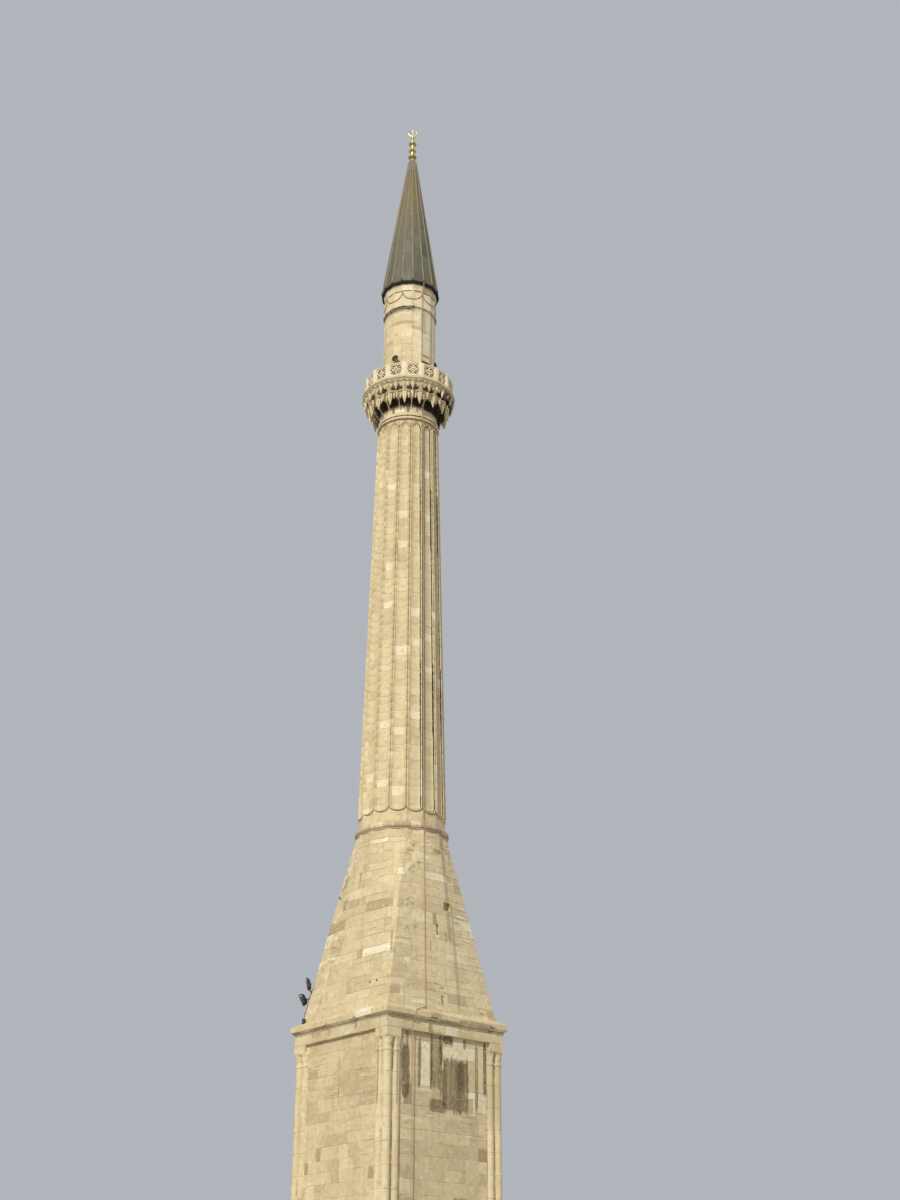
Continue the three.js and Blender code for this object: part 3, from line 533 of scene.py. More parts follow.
corner_parts = []
corner_random = np.random.default_rng(23)
axis = BASE_HALF - COLONNETTE_RADIUS
capital = raised(CAPITAL_BOTTOM, [(0, -0.07), (0.086, -0.07), (0.094, -0.055), (0.094, -0.035),
    (0.083, -0.02), (0.081, 0), (0.086, 0.04), (0.1, 0.08), (0.092, 0.088), (0.096, 0.12), (0.114, 0.163),
    (0.116, 0.175), (0, 0.175)])
foot_moulding = raised(PLINTH_TOP, [(0, 0), (0.112, 0), (0.112, 0.03), (0.104, 0.045), (0.094, 0.055),
    (0.098, 0.075), (0.09, 0.095), (0.081, 0.105), (0, 0.105)])
drums = drum_profile(0.081, PLINTH_TOP + 0.08, CAPITAL_BOTTOM - 0.05,
                     round((CAPITAL_BOTTOM - PLINTH_TOP) / DRUM_HEIGHT))
for facing in SIDE_FACINGS:
    for back, aside in ((0, 0), (COLONNETTE_SPACING, 0), (0, COLONNETTE_SPACING)):
        spot = (sideways(facing) * (axis - back) + outward(facing) * (axis - aside))[:2]
        tone = corner_random.uniform(0.5, 0.8)
        corner_parts += [turned(drums, 24, tone, spot), turned(foot_moulding, 24, tone, spot),
                         turned(capital, 32, 0.72, spot, leaf_swell)]
piece("corner_colonnettes", corner_parts, dressed_finish, smooth=35, soot_and_shade=base_soot_and_shade)


# Impost blocks. One flat block with a bevelled lower edge lies over each corner's three
# capitals, and a corner block of the frieze stands on it.
def unit(vectors):
    """Vectors brought to a length of one."""
    return vectors / np.linalg.norm(vectors, axis=-1, keepdims=True)


def mitres(corners):
    """Of a level polygon, the outward direction of each side, and for each corner the step
    that moves both of its sides out by one."""
    way = np.roll(corners, -1, 0) - corners
    normal = unit(np.stack([way[:, 1], -way[:, 0]], -1))
    before = np.roll(normal, 1, 0)
    return normal, (normal + before) / (1 + (normal * before).sum(1))[:, None]


def drawn_back(profile, reach):
    """How far each point of a moulding is drawn back at a joint: its face, but not its back."""
    return 0.006 * np.clip((profile[:, 0] - profile[:, 0].min()) / reach, 0, 1)


def stone_run(rings, profile, tones):
    """Closed stones, each a row of loops of points, with both ends filled in."""
    count, steps, size = rings.shape[:3]
    caps = cap_triangles(profile)
    body = grid_triangles(steps, size, round_columns=True)
    one = np.concatenate([body, caps[:, ::-1], caps + (steps - 1) * size])
    triangles = one + steps * size * np.arange(count)[:, None, None]
    return rings.reshape(-1, 3), triangles.reshape(-1, 3), np.repeat(tones, len(one))


def moulded_run(profile, corners, tones, joints=None):
    """Stones of a moulding along the sides of a level polygon. The profile is a closed loop
    of distance out from the polygon and height, carried from mitre to mitre. Joints are the
    shares of each side at which stones meet, and their ends are drawn back there a little."""
    profile, corners = np.array(profile, float), np.array(corners, float)
    normal, mitre = mitres(corners)
    rows = joints or [[0.0, 1.0]] * len(corners)
    spans = [(k, a, b, tones[(k * 7 + index) % len(tones)]) for k, row in enumerate(rows)
             for index, (a, b) in enumerate(zip(row[:-1], row[1:]))]
    side, first, last, tones = np.array(spans).T
    side = side.astype(int)
    inset = 0.004 / np.linalg.norm(np.roll(corners, -1, 0) - corners, axis=1)[side]
    open_first, open_last = first > 0, last < 1
    stops = np.stack([first + open_first * inset / 2, first + np.where(open_first, 3 * inset, 0.001),
                      last - np.where(open_last, 3 * inset, 0.001), last - open_last * inset / 2], -1)
    start = corners[:, None] + profile[:, :1] * mitre[:, None]
    way = np.roll(start, -1, 0) - start
    level = start[side, None] + way[side, None] * stops[..., None, None]
    for row, is_open in ((0, open_first), (3, open_last)):
        level[:, row] -= (is_open[:, None] * drawn_back(profile, 0.05))[..., None] * normal[side, None]
    up = np.broadcast_to(profile[:, 1:], (*level.shape[:3], 1))
    return [stone_run(np.concatenate([level, up], -1), profile, tones)]


def cap_triangles(profile):
    """Triangles that fill a closed loop which runs to the left, cut one ear at a time."""
    left = list(range(len(profile)))
    cut = []

    def turn(a, b, c):
        return np.linalg.det([profile[b] - profile[a], profile[c] - profile[a]])

    while len(left) > 3:
        ears = [(left[k - 1], left[k], left[(k + 1) % len(left)]) for k in range(len(left))]
        for a, b, c in ears:
            inside = any(turn(a, b, p) >= 0 and turn(b, c, p) >= 0 and turn(c, a, p) >= 0
                         for p in left if p not in (a, b, c))
            if turn(a, b, c) > 1e-12 and not inside:
                break
        cut.append((a, b, c))
        left.remove(b)
    return np.array([*cut, tuple(left)])


def square_corners(half):
    """The corners of a level square, to the left of each side as seen from outside."""
    return [(-half, -half), (half, -half), (half, half), (-half, half)]


impost_parts = []
impost = raised(CAPITAL_TOP, [(-0.05, 0.002), (-0.006, 0.002), (0.007, 0.022), (0.008, 0.158),
    (0.003, 0.167), (-0.05, 0.167)])
frieze = raised(IMPOST_TOP, [(-0.05, 0.002), (0.002, 0.002), (0.007, 0.01), (0.007, 0.177), (-0.05, 0.177)])
for facing in SIDE_FACINGS:
    middle = (sideways(facing) + outward(facing))[:2] * (BASE_HALF - IMPOST_WIDTH / 2)
    corners = np.array(square_corners(IMPOST_WIDTH / 2)) + middle
    impost_parts += moulded_run(impost, corners, [0.7]) + moulded_run(frieze, corners, [0.62])
piece("impost_blocks", impost_parts, dressed_finish, soot_and_shade=base_soot_and_shade)


# Base cornice. A run of moulded stones round the square has a hollow under a plain upright
# edge, and a weathered sloping top that leads back to the transition.
PYRAMID_FOOT = 7.05
PYRAMID_HALF = 1.336

cornice_profile = raised(BASE_TOP, [(-0.03, 0.002), (0.008, 0.002), (0.01, 0.018), (0.022, 0.026),
    (0.024, 0.046), (0.034, 0.062), (0.052, 0.073), (0.074, 0.078), (0.076, 0.084), (0.078, 0.169),
    (0.07, 0.179), (-0.02, 0.227), (-0.082, 0.264), (-0.12, 0.264), (-0.12, 0.03)])
cornice_random = np.random.default_rng(31)


def even_joints(sides, count, random):
    """Joints along each side of a polygon, a little uneven."""
    rows = []
    for _ in range(sides):
        inner = (np.arange(1, count) + random.uniform(-0.2, 0.2, count - 1)) / count
        rows.append([0.0, *inner, 1.0])
    return rows


def cornice_soot_and_shade(points):
    """Soot and painted shade in the hollow under the edge."""
    return 0.55 * np.exp(-((points[:, 2] - BASE_TOP - 0.045) / 0.035) ** 2)


cornice_parts = moulded_run(cornice_profile, square_corners(BASE_HALF),
                            stone_tones(29, cornice_random, 0.08, 0.04), even_joints(4, 6, cornice_random))
piece("base_cornice_stones", cornice_parts, dressed_finish, soot_and_shade=cornice_soot_and_shade)
finish_nodes(mortar_finish, "base_cornice")


# Transition. Above the cornice the square turns into a sixteen-sided tapering body. Its walls
# are squared stones in level courses, flat on each side and with shared stones at the arrises.
PYRAMID_TOP = 10.715
PYRAMID_TOP_RADIUS = 0.94
CREASE_SHARE = 0.33
TRANSITION_COURSE = 0.172
TRANSITION_STONE = 0.46
SLIT_HALF_WIDTH = 0.027
SLIT_HEIGHT = 0.21
SLIT_FEET = (9.645, 8.565, 9.645, 8.565)
# Left, right, foot and top, from the middle of a side
BROKEN_STONE = (0.195, 0.385, 9.095, 9.265)
PUTLOG_HOLES = ((0.68, 0.715, 7.525, 7.56), (0.877, 0.912, 7.53, 7.565))
SIXTEENTH = 22.5
SIDE_COSINE = math.cos(math.radians(SIXTEENTH / 2))
SIDE_SINE = math.sin(math.radians(SIXTEENTH / 2))
ARRISES = (np.arange(16) + 0.5) * SIXTEENTH


def transition_corners(share):
    """The sixteen corners at a share of the height, from the square foot to the round top."""
    order = np.arange(16)[:, None] % 4
    quarter = np.round(ARRISES / 90 - 0.5) * 90 + 45
    side = quarter + np.where(order[:, 0] < 2, -45, 45)
    at_crease = outward(side) + np.where(order == 0, CREASE_SHARE, -CREASE_SHARE) * sideways(side)
    foot = np.where((order == 1) | (order == 2), outward(quarter) * math.sqrt(2), at_crease) * PYRAMID_HALF
    return foot + (PYRAMID_TOP_RADIUS * outward(ARRISES) - foot) * share


def face_places(corners, foot, top):
    """For a sixteen-sided tapering body, the placing of points on each side: across is the
    share of the side's width, and out is carried along the mitres, so that sides meet."""
    low, high = corners(0.0), corners(1.0)
    mitre = mitres((low + high)[:, :2] / 2)[1]
    mitre = np.column_stack([mitre, np.zeros(len(mitre))])

    def side(k):
        a, b = (k - 1) % len(low), k % len(low)

        def ends(height):
            share = (height - foot) / (top - foot)
            return (low[c] + (high[c] - low[c]) * share for c in (a, b))

        def place(across, out, up):
            start, end = ends(up[..., None])
            level = start + (end - start) * across[..., None]
            push = mitre[a] + (mitre[b] - mitre[a]) * across[..., None]
            level = level + push * out[..., None]
            return np.concatenate([level[..., :2], up[..., None]], -1)

        def width(height):
            start, end = ends(height)
            return np.linalg.norm(end - start)

        return place, width
    return side


def metric(side, k, height):
    """The placing of points on side k with across in metres at a height."""
    place, width = side(k)
    wide = width(height)
    return lambda across, out, up: place(across / wide, out, up)


def sided_wall(side, joints, length, random, holes, proud, pale=0.08, brown=0.05, wrapped=True, tall=0.0):
    """Stones on sixteen tapering sides. The stones beside an arris share a tone in each
    course, as one stone cut round the corner, and a hole is a side and four limits."""
    parts = []
    shared = [stone_tones(16, random, pale, brown) for _ in joints[1:]]
    for k in range(16):
        place, width = side(k)
        big = tall_stones(joints, [hole for hole in holes if hole[0] == k], random, tall)
        for index, left, right in big:
            foot, top = joints[index], joints[index + 2]
            spans = np.array([[left + 0.004, right - 0.004, foot + 0.002, top - 0.002]])
            parts.append(blocks(place, spans, stone_tones(1, random, pale, brown),
                                random.uniform(0.3, 1.3, 1) * proud, edge=0.006))
        for index, (foot, top) in enumerate(zip(joints[:-1], joints[1:])):
            wide = width((foot + top) / 2)
            here = [(a, b, c, d) for on, a, b, c, d in holes if on == k and d > foot and c < top]
            here += [(a * wide, b * wide, joints[low], joints[low + 2]) for low, a, b in big
                     if index - 1 <= low <= index]
            spans = bond(0, wide, joints[index:index + 2], length, random, here)
            if len(spans) == 0:
                continue
            on_left = (spans[:, 0] < 0.006) & wrapped
            on_right = (spans[:, 1] > wide - 0.006) & wrapped
            spans[on_left, 0] = 0
            spans[on_right, 1] = wide
            tones = stone_tones(len(spans), random, pale, brown)
            tones[on_left] = shared[index][(k - 1) % 16]
            tones[on_right] = shared[index][k]
            out = random.uniform(0.3, 1.3, len(spans)) * proud
            out[on_left | on_right] = proud
            measured = metric(side, k, (foot + top) / 2)
            parts.append(blocks(measured, spans, tones, out, arris=(on_left, on_right)))
    return parts


transition_random = np.random.default_rng(47)
transition_side = face_places(transition_corners, PYRAMID_FOOT, PYRAMID_TOP)
transition_joints = courses(PYRAMID_FOOT, PYRAMID_TOP, TRANSITION_COURSE, transition_random, 0.3)


def on_side_hole(k, low, high, foot, top):
    """A hole given by its reach along the front or right side, as a hole of side k."""
    middle = (foot + top) / 2
    corners = transition_corners((middle - PYRAMID_FOOT) / (PYRAMID_TOP - PYRAMID_FOOT))
    start = corners[(k - 1) % 16] @ sideways(round((k - 0.1) / 4) * 90)
    return k, low - start, high - start, foot, top


transition_holes = [on_side_hole(4 * turn, -SLIT_HALF_WIDTH, SLIT_HALF_WIDTH, foot, foot + SLIT_HEIGHT)
                    for turn, foot in enumerate(SLIT_FEET)]
transition_holes += [on_side_hole(k, *BROKEN_STONE) for k in (4, 5)]
transition_holes += [on_side_hole(1, *hole) for hole in PUTLOG_HOLES]
TRANSITION_STAINS = (
    ("rust", (1.1, 0.205, 8.56), (0.3, 0.02, 0.1), 0.6),
    ("moss", (1.1, -0.21, 8.32), (0.3, 0.02, 0.12), 0.6),
    ("grime", (0.98, 0.12, 10.31), (0.3, 0.1, 0.05), 0.55),
    ("soot_and_shade", (1.05, 0.3, 9.6), (0.25, 0.05, 1.2), 0.3),
    ("soot_and_shade", (1.2, 0.41, 8.2), (0.25, 0.04, 1.1), 0.3),
    ("soot_and_shade", (1.24, -0.01, 7.45), (0.3, 0.05, 0.1), 0.45),
)
transition_finish = stone_finish("transition_ashlar", layers=0.9, stains=TRANSITION_STAINS)
transition_parts = sided_wall(transition_side, transition_joints, TRANSITION_STONE, transition_random,
                              transition_holes, 0.005, tall=0.45)
piece("transition_stones", transition_parts, transition_finish)


def plain_finish(name, colour, roughness):
    """A material of one colour."""
    finish, shader, *_ = new_finish(name)
    shader.inputs["Base Color"].default_value = colour
    shader.inputs["Roughness"].default_value = roughness
    return finish


# A near-black finish for thin plates set over holes and slots: painted shade in place of their depth.
hole_shade_finish = plain_finish("painted_hole_shade", linear(22, 18, 14), 1.0)


def plate(place, left, right, foot, top, out, thick, tone=0.0):
    """A thin closed plate on a face between four limits."""
    across, up = np.array([[left, right, right, left]] * 2), np.array([[foot, foot, top, top]] * 2)
    points = place(across, np.array([[out] * 4, [out - thick] * 4]), up).reshape(-1, 3)
    triangles = np.array([(0, 1, 2), (0, 2, 3), (5, 4, 7), (5, 7, 6), (1, 5, 6), (1, 6, 2),
                          (4, 0, 3), (4, 3, 7), (3, 2, 6), (3, 6, 7), (4, 5, 1), (4, 1, 0)])
    return points, triangles, tone


# Thin near-black plates over the putlog holes paint the shade inside them.
putlog_shade_plates = [plate(metric(transition_side, hole[0], hole[3]), *hole[1:], 0.002, 0.004)
                 for hole in transition_holes[-len(PUTLOG_HOLES):]]
piece("putlog_hole_shade", putlog_shade_plates, hole_shade_finish)
finish_nodes(mortar_finish, "transition")


# Ring moulding. A round roll of curved stones, with a thin fillet under it, covers the joint
# between the transition and the shaft. One paler stone in it is a repair.
RING_TOP = 10.875
RING_RADIUS = 0.96
RING_STONES = 22
RING_REPAIR_FACING = 62


def curved_run(profile, cuts, steps, tones):
    """Closed stones of a round moulding: a closed loop of radius and height is carried from
    one cut to the next, in degrees, and is drawn back a little at both ends of a stone."""
    profile = np.array(profile, float)
    start, length = cuts[:, :1], cuts[:, 1:] - cuts[:, :1]
    edge = np.degrees(0.003 / profile[:, 0].max())
    angles = start + edge / 2 + (length - edge) * np.linspace(0, 1, steps)
    angles[:, 1], angles[:, -2] = angles[:, 0] + 1.5 * edge, angles[:, -1] - 1.5 * edge
    reach = np.tile(profile[:, 0], (steps, 1))
    reach[[0, -1]] -= drawn_back(profile, 0.03)
    rings = outward(angles)[:, :, None, :] * reach[..., None]
    rings[..., 2] = profile[:, 1]
    return stone_run(rings, profile, tones)


def even_cuts(count, random, start=0.0):
    """Start and end angles of stones all the way round, a little uneven."""
    angles = (np.arange(count) + random.uniform(-0.12, 0.12, count)) * 360 / count + start
    return np.column_stack([angles, np.append(angles[1:], angles[0] + 360)])


def roll(radius, middle, half, steps, back):
    """A half-round profile loop that bulges to a radius, on a flat back."""
    turn = np.radians(np.linspace(-90, 90, steps))
    points = [(radius - half + half * c, middle + half * s)
              for c, s in zip(np.cos(turn), np.sin(turn))]
    return points + [(back, middle + half), (back, middle - half)]


RING_TONES = ((0.0, linear(158, 138, 112)), (0.5, linear(198, 176, 142)), (1.0, linear(234, 218, 186)))
ring_finish = stone_finish("ring_stone", tones=RING_TONES)
ring_random = np.random.default_rng(53)
ring_half = (RING_TOP - PYRAMID_TOP) / 2
ring_cuts = even_cuts(RING_STONES, ring_random, 11)
ring_tones = stone_tones(RING_STONES, ring_random, 0.1, 0.1) - 0.2
ring_tones[np.argmin(np.abs(ring_cuts.mean(1) - RING_REPAIR_FACING))] = 0.97
fillet = raised(PYRAMID_TOP, [(0.9, -0.016), (0.945, -0.016), (0.95, 0.014), (0.9, 0.014)])
ring_parts = [
    curved_run(roll(RING_RADIUS + 0.006, PYRAMID_TOP + ring_half + 0.002, ring_half - 0.004, 12, 0.85),
               ring_cuts, 8, ring_tones),
    curved_run(fillet, even_cuts(RING_STONES, ring_random, 4), 8,
               stone_tones(RING_STONES, ring_random)),
]


def ring_underside_shade(points):
    """Painted shade on the underside of the roll and on the fillet under it."""
    return 0.36 * np.clip((PYRAMID_TOP + 0.065 - points[:, 2]) / 0.05, 0, 1)


piece("ring_moulding_stones", ring_parts, ring_finish, smooth=40, soot_and_shade=ring_underside_shade)
finish_nodes(mortar_finish, "ring_moulding")


# Shaft. Sixteen tall hollow flutes, each framed by a round roll that turns under it in a U and
# closes over it in a pointed arch. Two rolls and a deep groove meet at each arris. It is built
# of stones in level courses, and weather has stained and patched it.
SHAFT_TOP = 20.5
SHAFT_FOOT_RADIUS = 0.915
SHAFT_TOP_RADIUS = 0.697
SHAFT_WELL_RADIUS = 0.43
FLUTE_FOOT = 11.09
FLUTE_HEAD = 20.465
FLUTE_FOOT_RISE = 0.118
FLUTE_HEAD_RISE = 0.175
SHAFT_COURSE = 0.186
SHAFT_JOINT = 0.0035
FINE_ROW = 0.011
FLUTE_FEET_END = 11.42
SHAFT_MIDDLE = 15.6
FLUTE_HEADS_START = 20.22
SHADE_START = 62
SHADE_END = 135
# Distance from the arris, and how far the stone stands out there
ROLL_ACROSS = np.array([-0.02, 0.0, 0.007, 0.012, 0.018, 0.026, 0.034, 0.041, 0.046, 0.05, 0.056,
                        0.072, 0.092, 0.115, 1.0])
ROLL_OUT = np.array([-0.022, -0.034, -0.031, -0.01, 0.004, 0.009, 0.006, -0.006, -0.02, -0.021, -0.014,
                     -0.025, -0.032, -0.036, -0.037])


def shaft_radius(height):
    """The shaft's corner radius at a height."""
    share = (height - RING_TOP) / (SHAFT_TOP - RING_TOP)
    return SHAFT_FOOT_RADIUS + (SHAFT_TOP_RADIUS - SHAFT_FOOT_RADIUS) * share


def from_border(across, half, height):
    """How far a point of a panel is inside its border: the arrises at the sides, half of a
    broad oval at the foot and a pointed arch at the head. Beyond the border it is negative."""
    side = half - across
    low = np.maximum(FLUTE_FOOT + FLUTE_FOOT_RISE - height, 0) / FLUTE_FOOT_RISE
    wide = across / half
    power = 2.3
    oval = (wide ** power + low ** power) ** (1 / power)
    slope = np.hypot(wide ** (power - 1) / half, low ** (power - 1) / FLUTE_FOOT_RISE)
    foot = np.where(low > 0, (1 - oval) * np.maximum(oval, 1e-3) ** (power - 1)
                    / np.maximum(slope, 1e-3), 1.0)
    high = np.maximum(height - (FLUTE_HEAD - FLUTE_HEAD_RISE), 0) / FLUTE_HEAD_RISE
    arch = wide + high ** 2
    lean = np.hypot(1 / half, 2 * high / FLUTE_HEAD_RISE)
    head = np.where(high > 0, (1 - arch) / lean, 1.0)
    return np.minimum(side, np.minimum(foot, head))


shaft_random = np.random.default_rng(61)
shaft_joints = courses(RING_TOP, SHAFT_TOP, SHAFT_COURSE, shaft_random)
panel_tones = stone_tones(16 * len(shaft_joints), shaft_random, 0.02, 0.03).reshape(-1, 16) * 0.8 + 0.2
roll_tones = stone_tones(16 * len(shaft_joints), shaft_random, 0.02, 0.04).reshape(-1, 16) * 0.8 + 0.2
joined_left = shaft_random.uniform(0, 1, roll_tones.shape) < 0.4
roll_tones = np.where(joined_left, panel_tones, roll_tones)
panel_out = shaft_random.uniform(-0.002, 0.003, panel_tones.shape)
# Pale repairs, by height and by the number of the flute or of the arris after it
PALE_FLUTE_STONES = ((11.95, 0), (11.78, 1), (11.56, 2), (11.36, 0), (13.16, 3), (15.64, 3), (15.72, 1),
                     (14.28, 4), (15.05, 4), (16.64, 1), (18.73, 1), (18.08, 2), (17.29, 2), (19.11, 4),
                     (17.9, 4), (12.9, 2), (13.4, 9), (16.1, 11), (14.8, 13), (18.4, 8))
PALE_ROLL_STONES = ((12.37, 1), (11.85, 3), (11.7, 3), (11.55, 3), (14.66, 2), (16.44, 4), (19.1, 0),
                    (12.14, 4), (13.1, 10), (17.5, 12))
for places, stones in ((PALE_FLUTE_STONES, panel_tones), (PALE_ROLL_STONES, roll_tones)):
    for height, number in places:
        stones[np.searchsorted(shaft_joints, height) - 1, number] = 0.96


def course_at(heights):
    """The numbers of the courses at some heights, and where the heights are in a joint."""
    number = np.clip(np.searchsorted(shaft_joints, heights) - 1, 0, len(shaft_joints) - 2)
    return number[:, None], np.abs(heights[:, None] - shaft_joints).min(1, keepdims=True) < 0.6 * SHAFT_JOINT


def shaft_tone(heights, angles, spread):
    """The tone of the stone that covers a place: a panel stone or the rolls of an arris."""
    course, in_joint = course_at(heights)
    panel = np.round(angles / SIXTEENTH).astype(int) % 16
    arris = np.floor(angles / SIXTEENTH).astype(int) % 16
    tones = np.where(spread > 0.047, panel_tones[course, panel], roll_tones[course, arris])
    return np.where(in_joint, 0.25, tones)


def closed_ring(outer, well, tones):
    """A closed ring from rows of points all round, from the foot up, closed to the stair
    well at a radius of its own; tones are given row by row for the outer cells."""
    flat = outer[[0, -1]].copy()
    size = np.linalg.norm(flat[..., :2], axis=-1, keepdims=True)
    flat[..., :2] *= well / size
    points = np.concatenate([flat[:1], outer, flat[1:]])
    rows, columns = points.shape[:2]
    tones = np.broadcast_to(tones, (rows - 3, columns))
    tones = np.concatenate([np.full((1, columns), 0.2), tones, np.full((2, columns), 0.2)])
    return points.reshape(-1, 3), grid_triangles(rows, columns, True, True), np.repeat(tones.ravel(), 2)


def shaft_body(heights, turns):
    """A stretch of the shaft as one closed ring: rows at the given heights and columns at
    the given angles from the middle of a panel, all round, closed to the stair well."""
    radius = shaft_radius(heights)[:, None]
    angles = (np.arange(16)[:, None] * SIXTEENTH + turns).ravel()
    local = np.radians(np.tile(turns, 16))
    apothem = radius * SIDE_COSINE
    inside = from_border(np.abs(apothem * np.tan(local)), radius * SIDE_SINE, heights[:, None])
    course, in_joint = course_at(heights)
    out = np.interp(inside, ROLL_ACROSS, ROLL_OUT) - 0.003 * in_joint
    out = out + panel_out[course, np.repeat(np.arange(16), len(turns))] * (inside > 0.05)
    outer = outward(angles) * ((apothem + out) / np.cos(local))[..., None]
    outer[..., 2] = heights[:, None]
    spread = (inside[0] + np.roll(inside[0], -1)) / 2
    tones = shaft_tone((heights[:-1] + heights[1:]) / 2, angles, spread)
    well = np.interp(heights[[0, -1]], (RING_TOP, SHAFT_TOP), (0.6, SHAFT_WELL_RADIUS))
    return closed_ring(outer, well[:, None, None], tones)


def rows_between(low, high, fine):
    """Row heights of a stretch: four round each joint, and finer ones in between if asked."""
    joints = shaft_joints[(shaft_joints > low + 0.02) & (shaft_joints < high - 0.02)]
    around = (joints[:, None] + np.array([-1, -0.5, 0.5, 1]) * SHAFT_JOINT).ravel()
    rows = np.concatenate([[low, high], around])
    if fine:
        between_rows = np.linspace(low, high, round((high - low) / fine) + 1)
        far = np.abs(between_rows[:, None] - np.concatenate([[low, high], joints])).min(1) > 0.006
        rows = np.concatenate([rows, between_rows[far]])
    return np.unique(rows)


def panel_turns(radius, fine):
    """Column angles of one panel from its left arris on, placed where the roll bends."""
    half = radius * SIDE_SINE
    if fine:
        places = np.concatenate([np.linspace(0, 0.058, 11), np.linspace(0.068, half, 9)])
    else:
        places = np.append(ROLL_ACROSS[1:-1], half)
    left = places - half
    return np.degrees(np.arctan2(np.concatenate([left, -left[-2:0:-1]]), radius * SIDE_COSINE))


def smooth_step(value):
    """Runs from nought to one with level ends."""
    value = np.clip(value, 0, 1)
    return value * value * (3 - 2 * value)


def shaft_darkening_and_shade(points):
    """Darker under the neck moulding and above the ring, and painted shade deep in the grooves and in the
    flute hollows, strongest on the shaded side.
    """
    neck = 0.3 * np.exp(-(SHAFT_TOP - points[:, 2]) / 0.1)
    foot = 0.25 * np.exp(-(points[:, 2] - RING_TOP) / 0.05)
    facing = facing_of(points)
    turn = facing / SIXTEENTH
    from_arris = np.abs(turn % 1 - 0.5) * np.radians(SIXTEENTH) * np.hypot(points[:, 0], points[:, 1])
    shaded = smooth_step((facing - SHADE_START) / 20) * smooth_step((SHADE_END - facing) / 15)
    # Painted shade in the grooves at the arrises, at the ends of the flutes and in the hollows on the shaded
    # side.
    groove_shade = (0.35 + 0.65 * shaded) * (from_arris < 0.01) * (points[:, 2] > FLUTE_FOOT + 0.1)
    radius = shaft_radius(points[:, 2])
    local = np.radians(((turn + 0.5) % 1 - 0.5) * SIXTEENTH)
    across = np.abs(radius * SIDE_COSINE * np.tan(local))
    inside = from_border(across, radius * SIDE_SINE, points[:, 2])
    ends = (points[:, 2] > FLUTE_HEAD - FLUTE_HEAD_RISE) | (points[:, 2] < FLUTE_FOOT + FLUTE_FOOT_RISE)
    groove_shade = groove_shade + 0.5 * ends * (inside > -0.004) * (inside < 0.009)
    groove_shade = groove_shade + 0.45 * ends * (inside > 0.044) * (inside < 0.053)
    groove_shade = groove_shade + 0.9 * shaded * (inside > 0.04) * (inside < 0.057) + 0.2 * shaded * (inside > 0.05)
    return neck + foot + groove_shade


shaft_finish = stone_finish("shaft_ashlar", streaks=0.28)

# The ends of the flutes are made of fine rows, and the long stretches between them of few
for part_name, low, high, fine in (("shaft_foot", RING_TOP - 0.01, FLUTE_FEET_END, FINE_ROW),
                                   ("shaft_lower", FLUTE_FEET_END, SHAFT_MIDDLE, 0),
                                   ("shaft_upper", SHAFT_MIDDLE, FLUTE_HEADS_START, 0),
                                   ("shaft_head", FLUTE_HEADS_START, SHAFT_TOP + 0.01, FINE_ROW)):
    row_heights = rows_between(low, high, fine)
    columns = panel_turns(float(shaft_radius((low + high) / 2)), fine)
    piece(part_name, [shaft_body(row_heights, columns)], shaft_finish, smooth=50, soot_and_shade=shaft_darkening_and_shade)
for name in ("shaft_front", "shaft_right", "shaft_back", "shaft_left"):
    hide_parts(name)


# Neck. A thin double moulding of curved stones closes the shaft's panels, and a plain drum
# stands above it under the corbel.
CORBEL_FOOT = 20.79
NECK_STONES = 16


def neck_painted_shade(points):
    """Painted shade in the narrow hollow between the two rolls and a little under the lower one."""
    hollow = 0.95 * np.exp(-((points[:, 2] - SHAFT_TOP - 0.086) / 0.014) ** 2)
    return hollow + 0.45 * (points[:, 2] < SHAFT_TOP + 0.006)


carved_finish = stone_finish("carved_stone", streaks=0.25, grain=1.3)
neck_random = np.random.default_rng(67)
back = SHAFT_WELL_RADIUS
neck_profile = raised(SHAFT_TOP, [(back, 0.002), (0.702, 0.002), (0.714, 0.012), (0.717, 0.026),
    (0.714, 0.04), (0.704, 0.054), (0.696, 0.062), (0.682, 0.07), (0.681, 0.09), (0.686, 0.098),
    (0.697, 0.102), (0.699, 0.14), (0.696, 0.16), (0.686, 0.176), (0.671, 0.19), (0.66, 0.204),
    (back, 0.206)])
plain_drum = raised(SHAFT_TOP, [(back, 0.209), (0.657, 0.209), (0.658, 0.216), (0.656, 0.285),
    (0.655, 0.289), (back, 0.289)])
neck_parts = [
    curved_run(neck_profile, even_cuts(NECK_STONES, neck_random, 5), 6,
               stone_tones(NECK_STONES, neck_random, 0.15, 0.03) + 0.08),
    curved_run(plain_drum, even_cuts(NECK_STONES, neck_random), 6,
               stone_tones(NECK_STONES, neck_random, 0.15, 0.03) + 0.1),
]
neck = piece("neck_stones", neck_parts, carved_finish, smooth=40, soot_and_shade=neck_painted_shade)
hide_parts("neck_moulding")


# Corbel. The balcony rests on two tiers of stalactite cells carved from pale limestone: each
# tier is a ring of pointed shell niches between ribs, with faceted drops that hang before them.
CORBEL_MIDDLE = 21.125
CORBEL_TOP = 21.34
LOWER_DROP_RADIUS = 0.885
UPPER_DROP_RADIUS = 1.0
# Feet and tops of the rings of cells and of the thin slabs between them, which overlap
LOWER_CELLS = (CORBEL_FOOT, 21.112)
LOWER_SLAB = (21.11, 21.136)
UPPER_CELLS = (21.134, 21.296)
UPPER_SLAB = (21.292, 21.304)
SMALL_CELLS = (21.302, CORBEL_TOP)
# Heights, and the reach inside which painted shade lies there
SHADE_LINE = ((CORBEL_FOOT, 0.665), (20.95, 0.8), (LOWER_SLAB[0], 0.88), (21.13, 0.975),
             (CORBEL_TOP, 1.055))


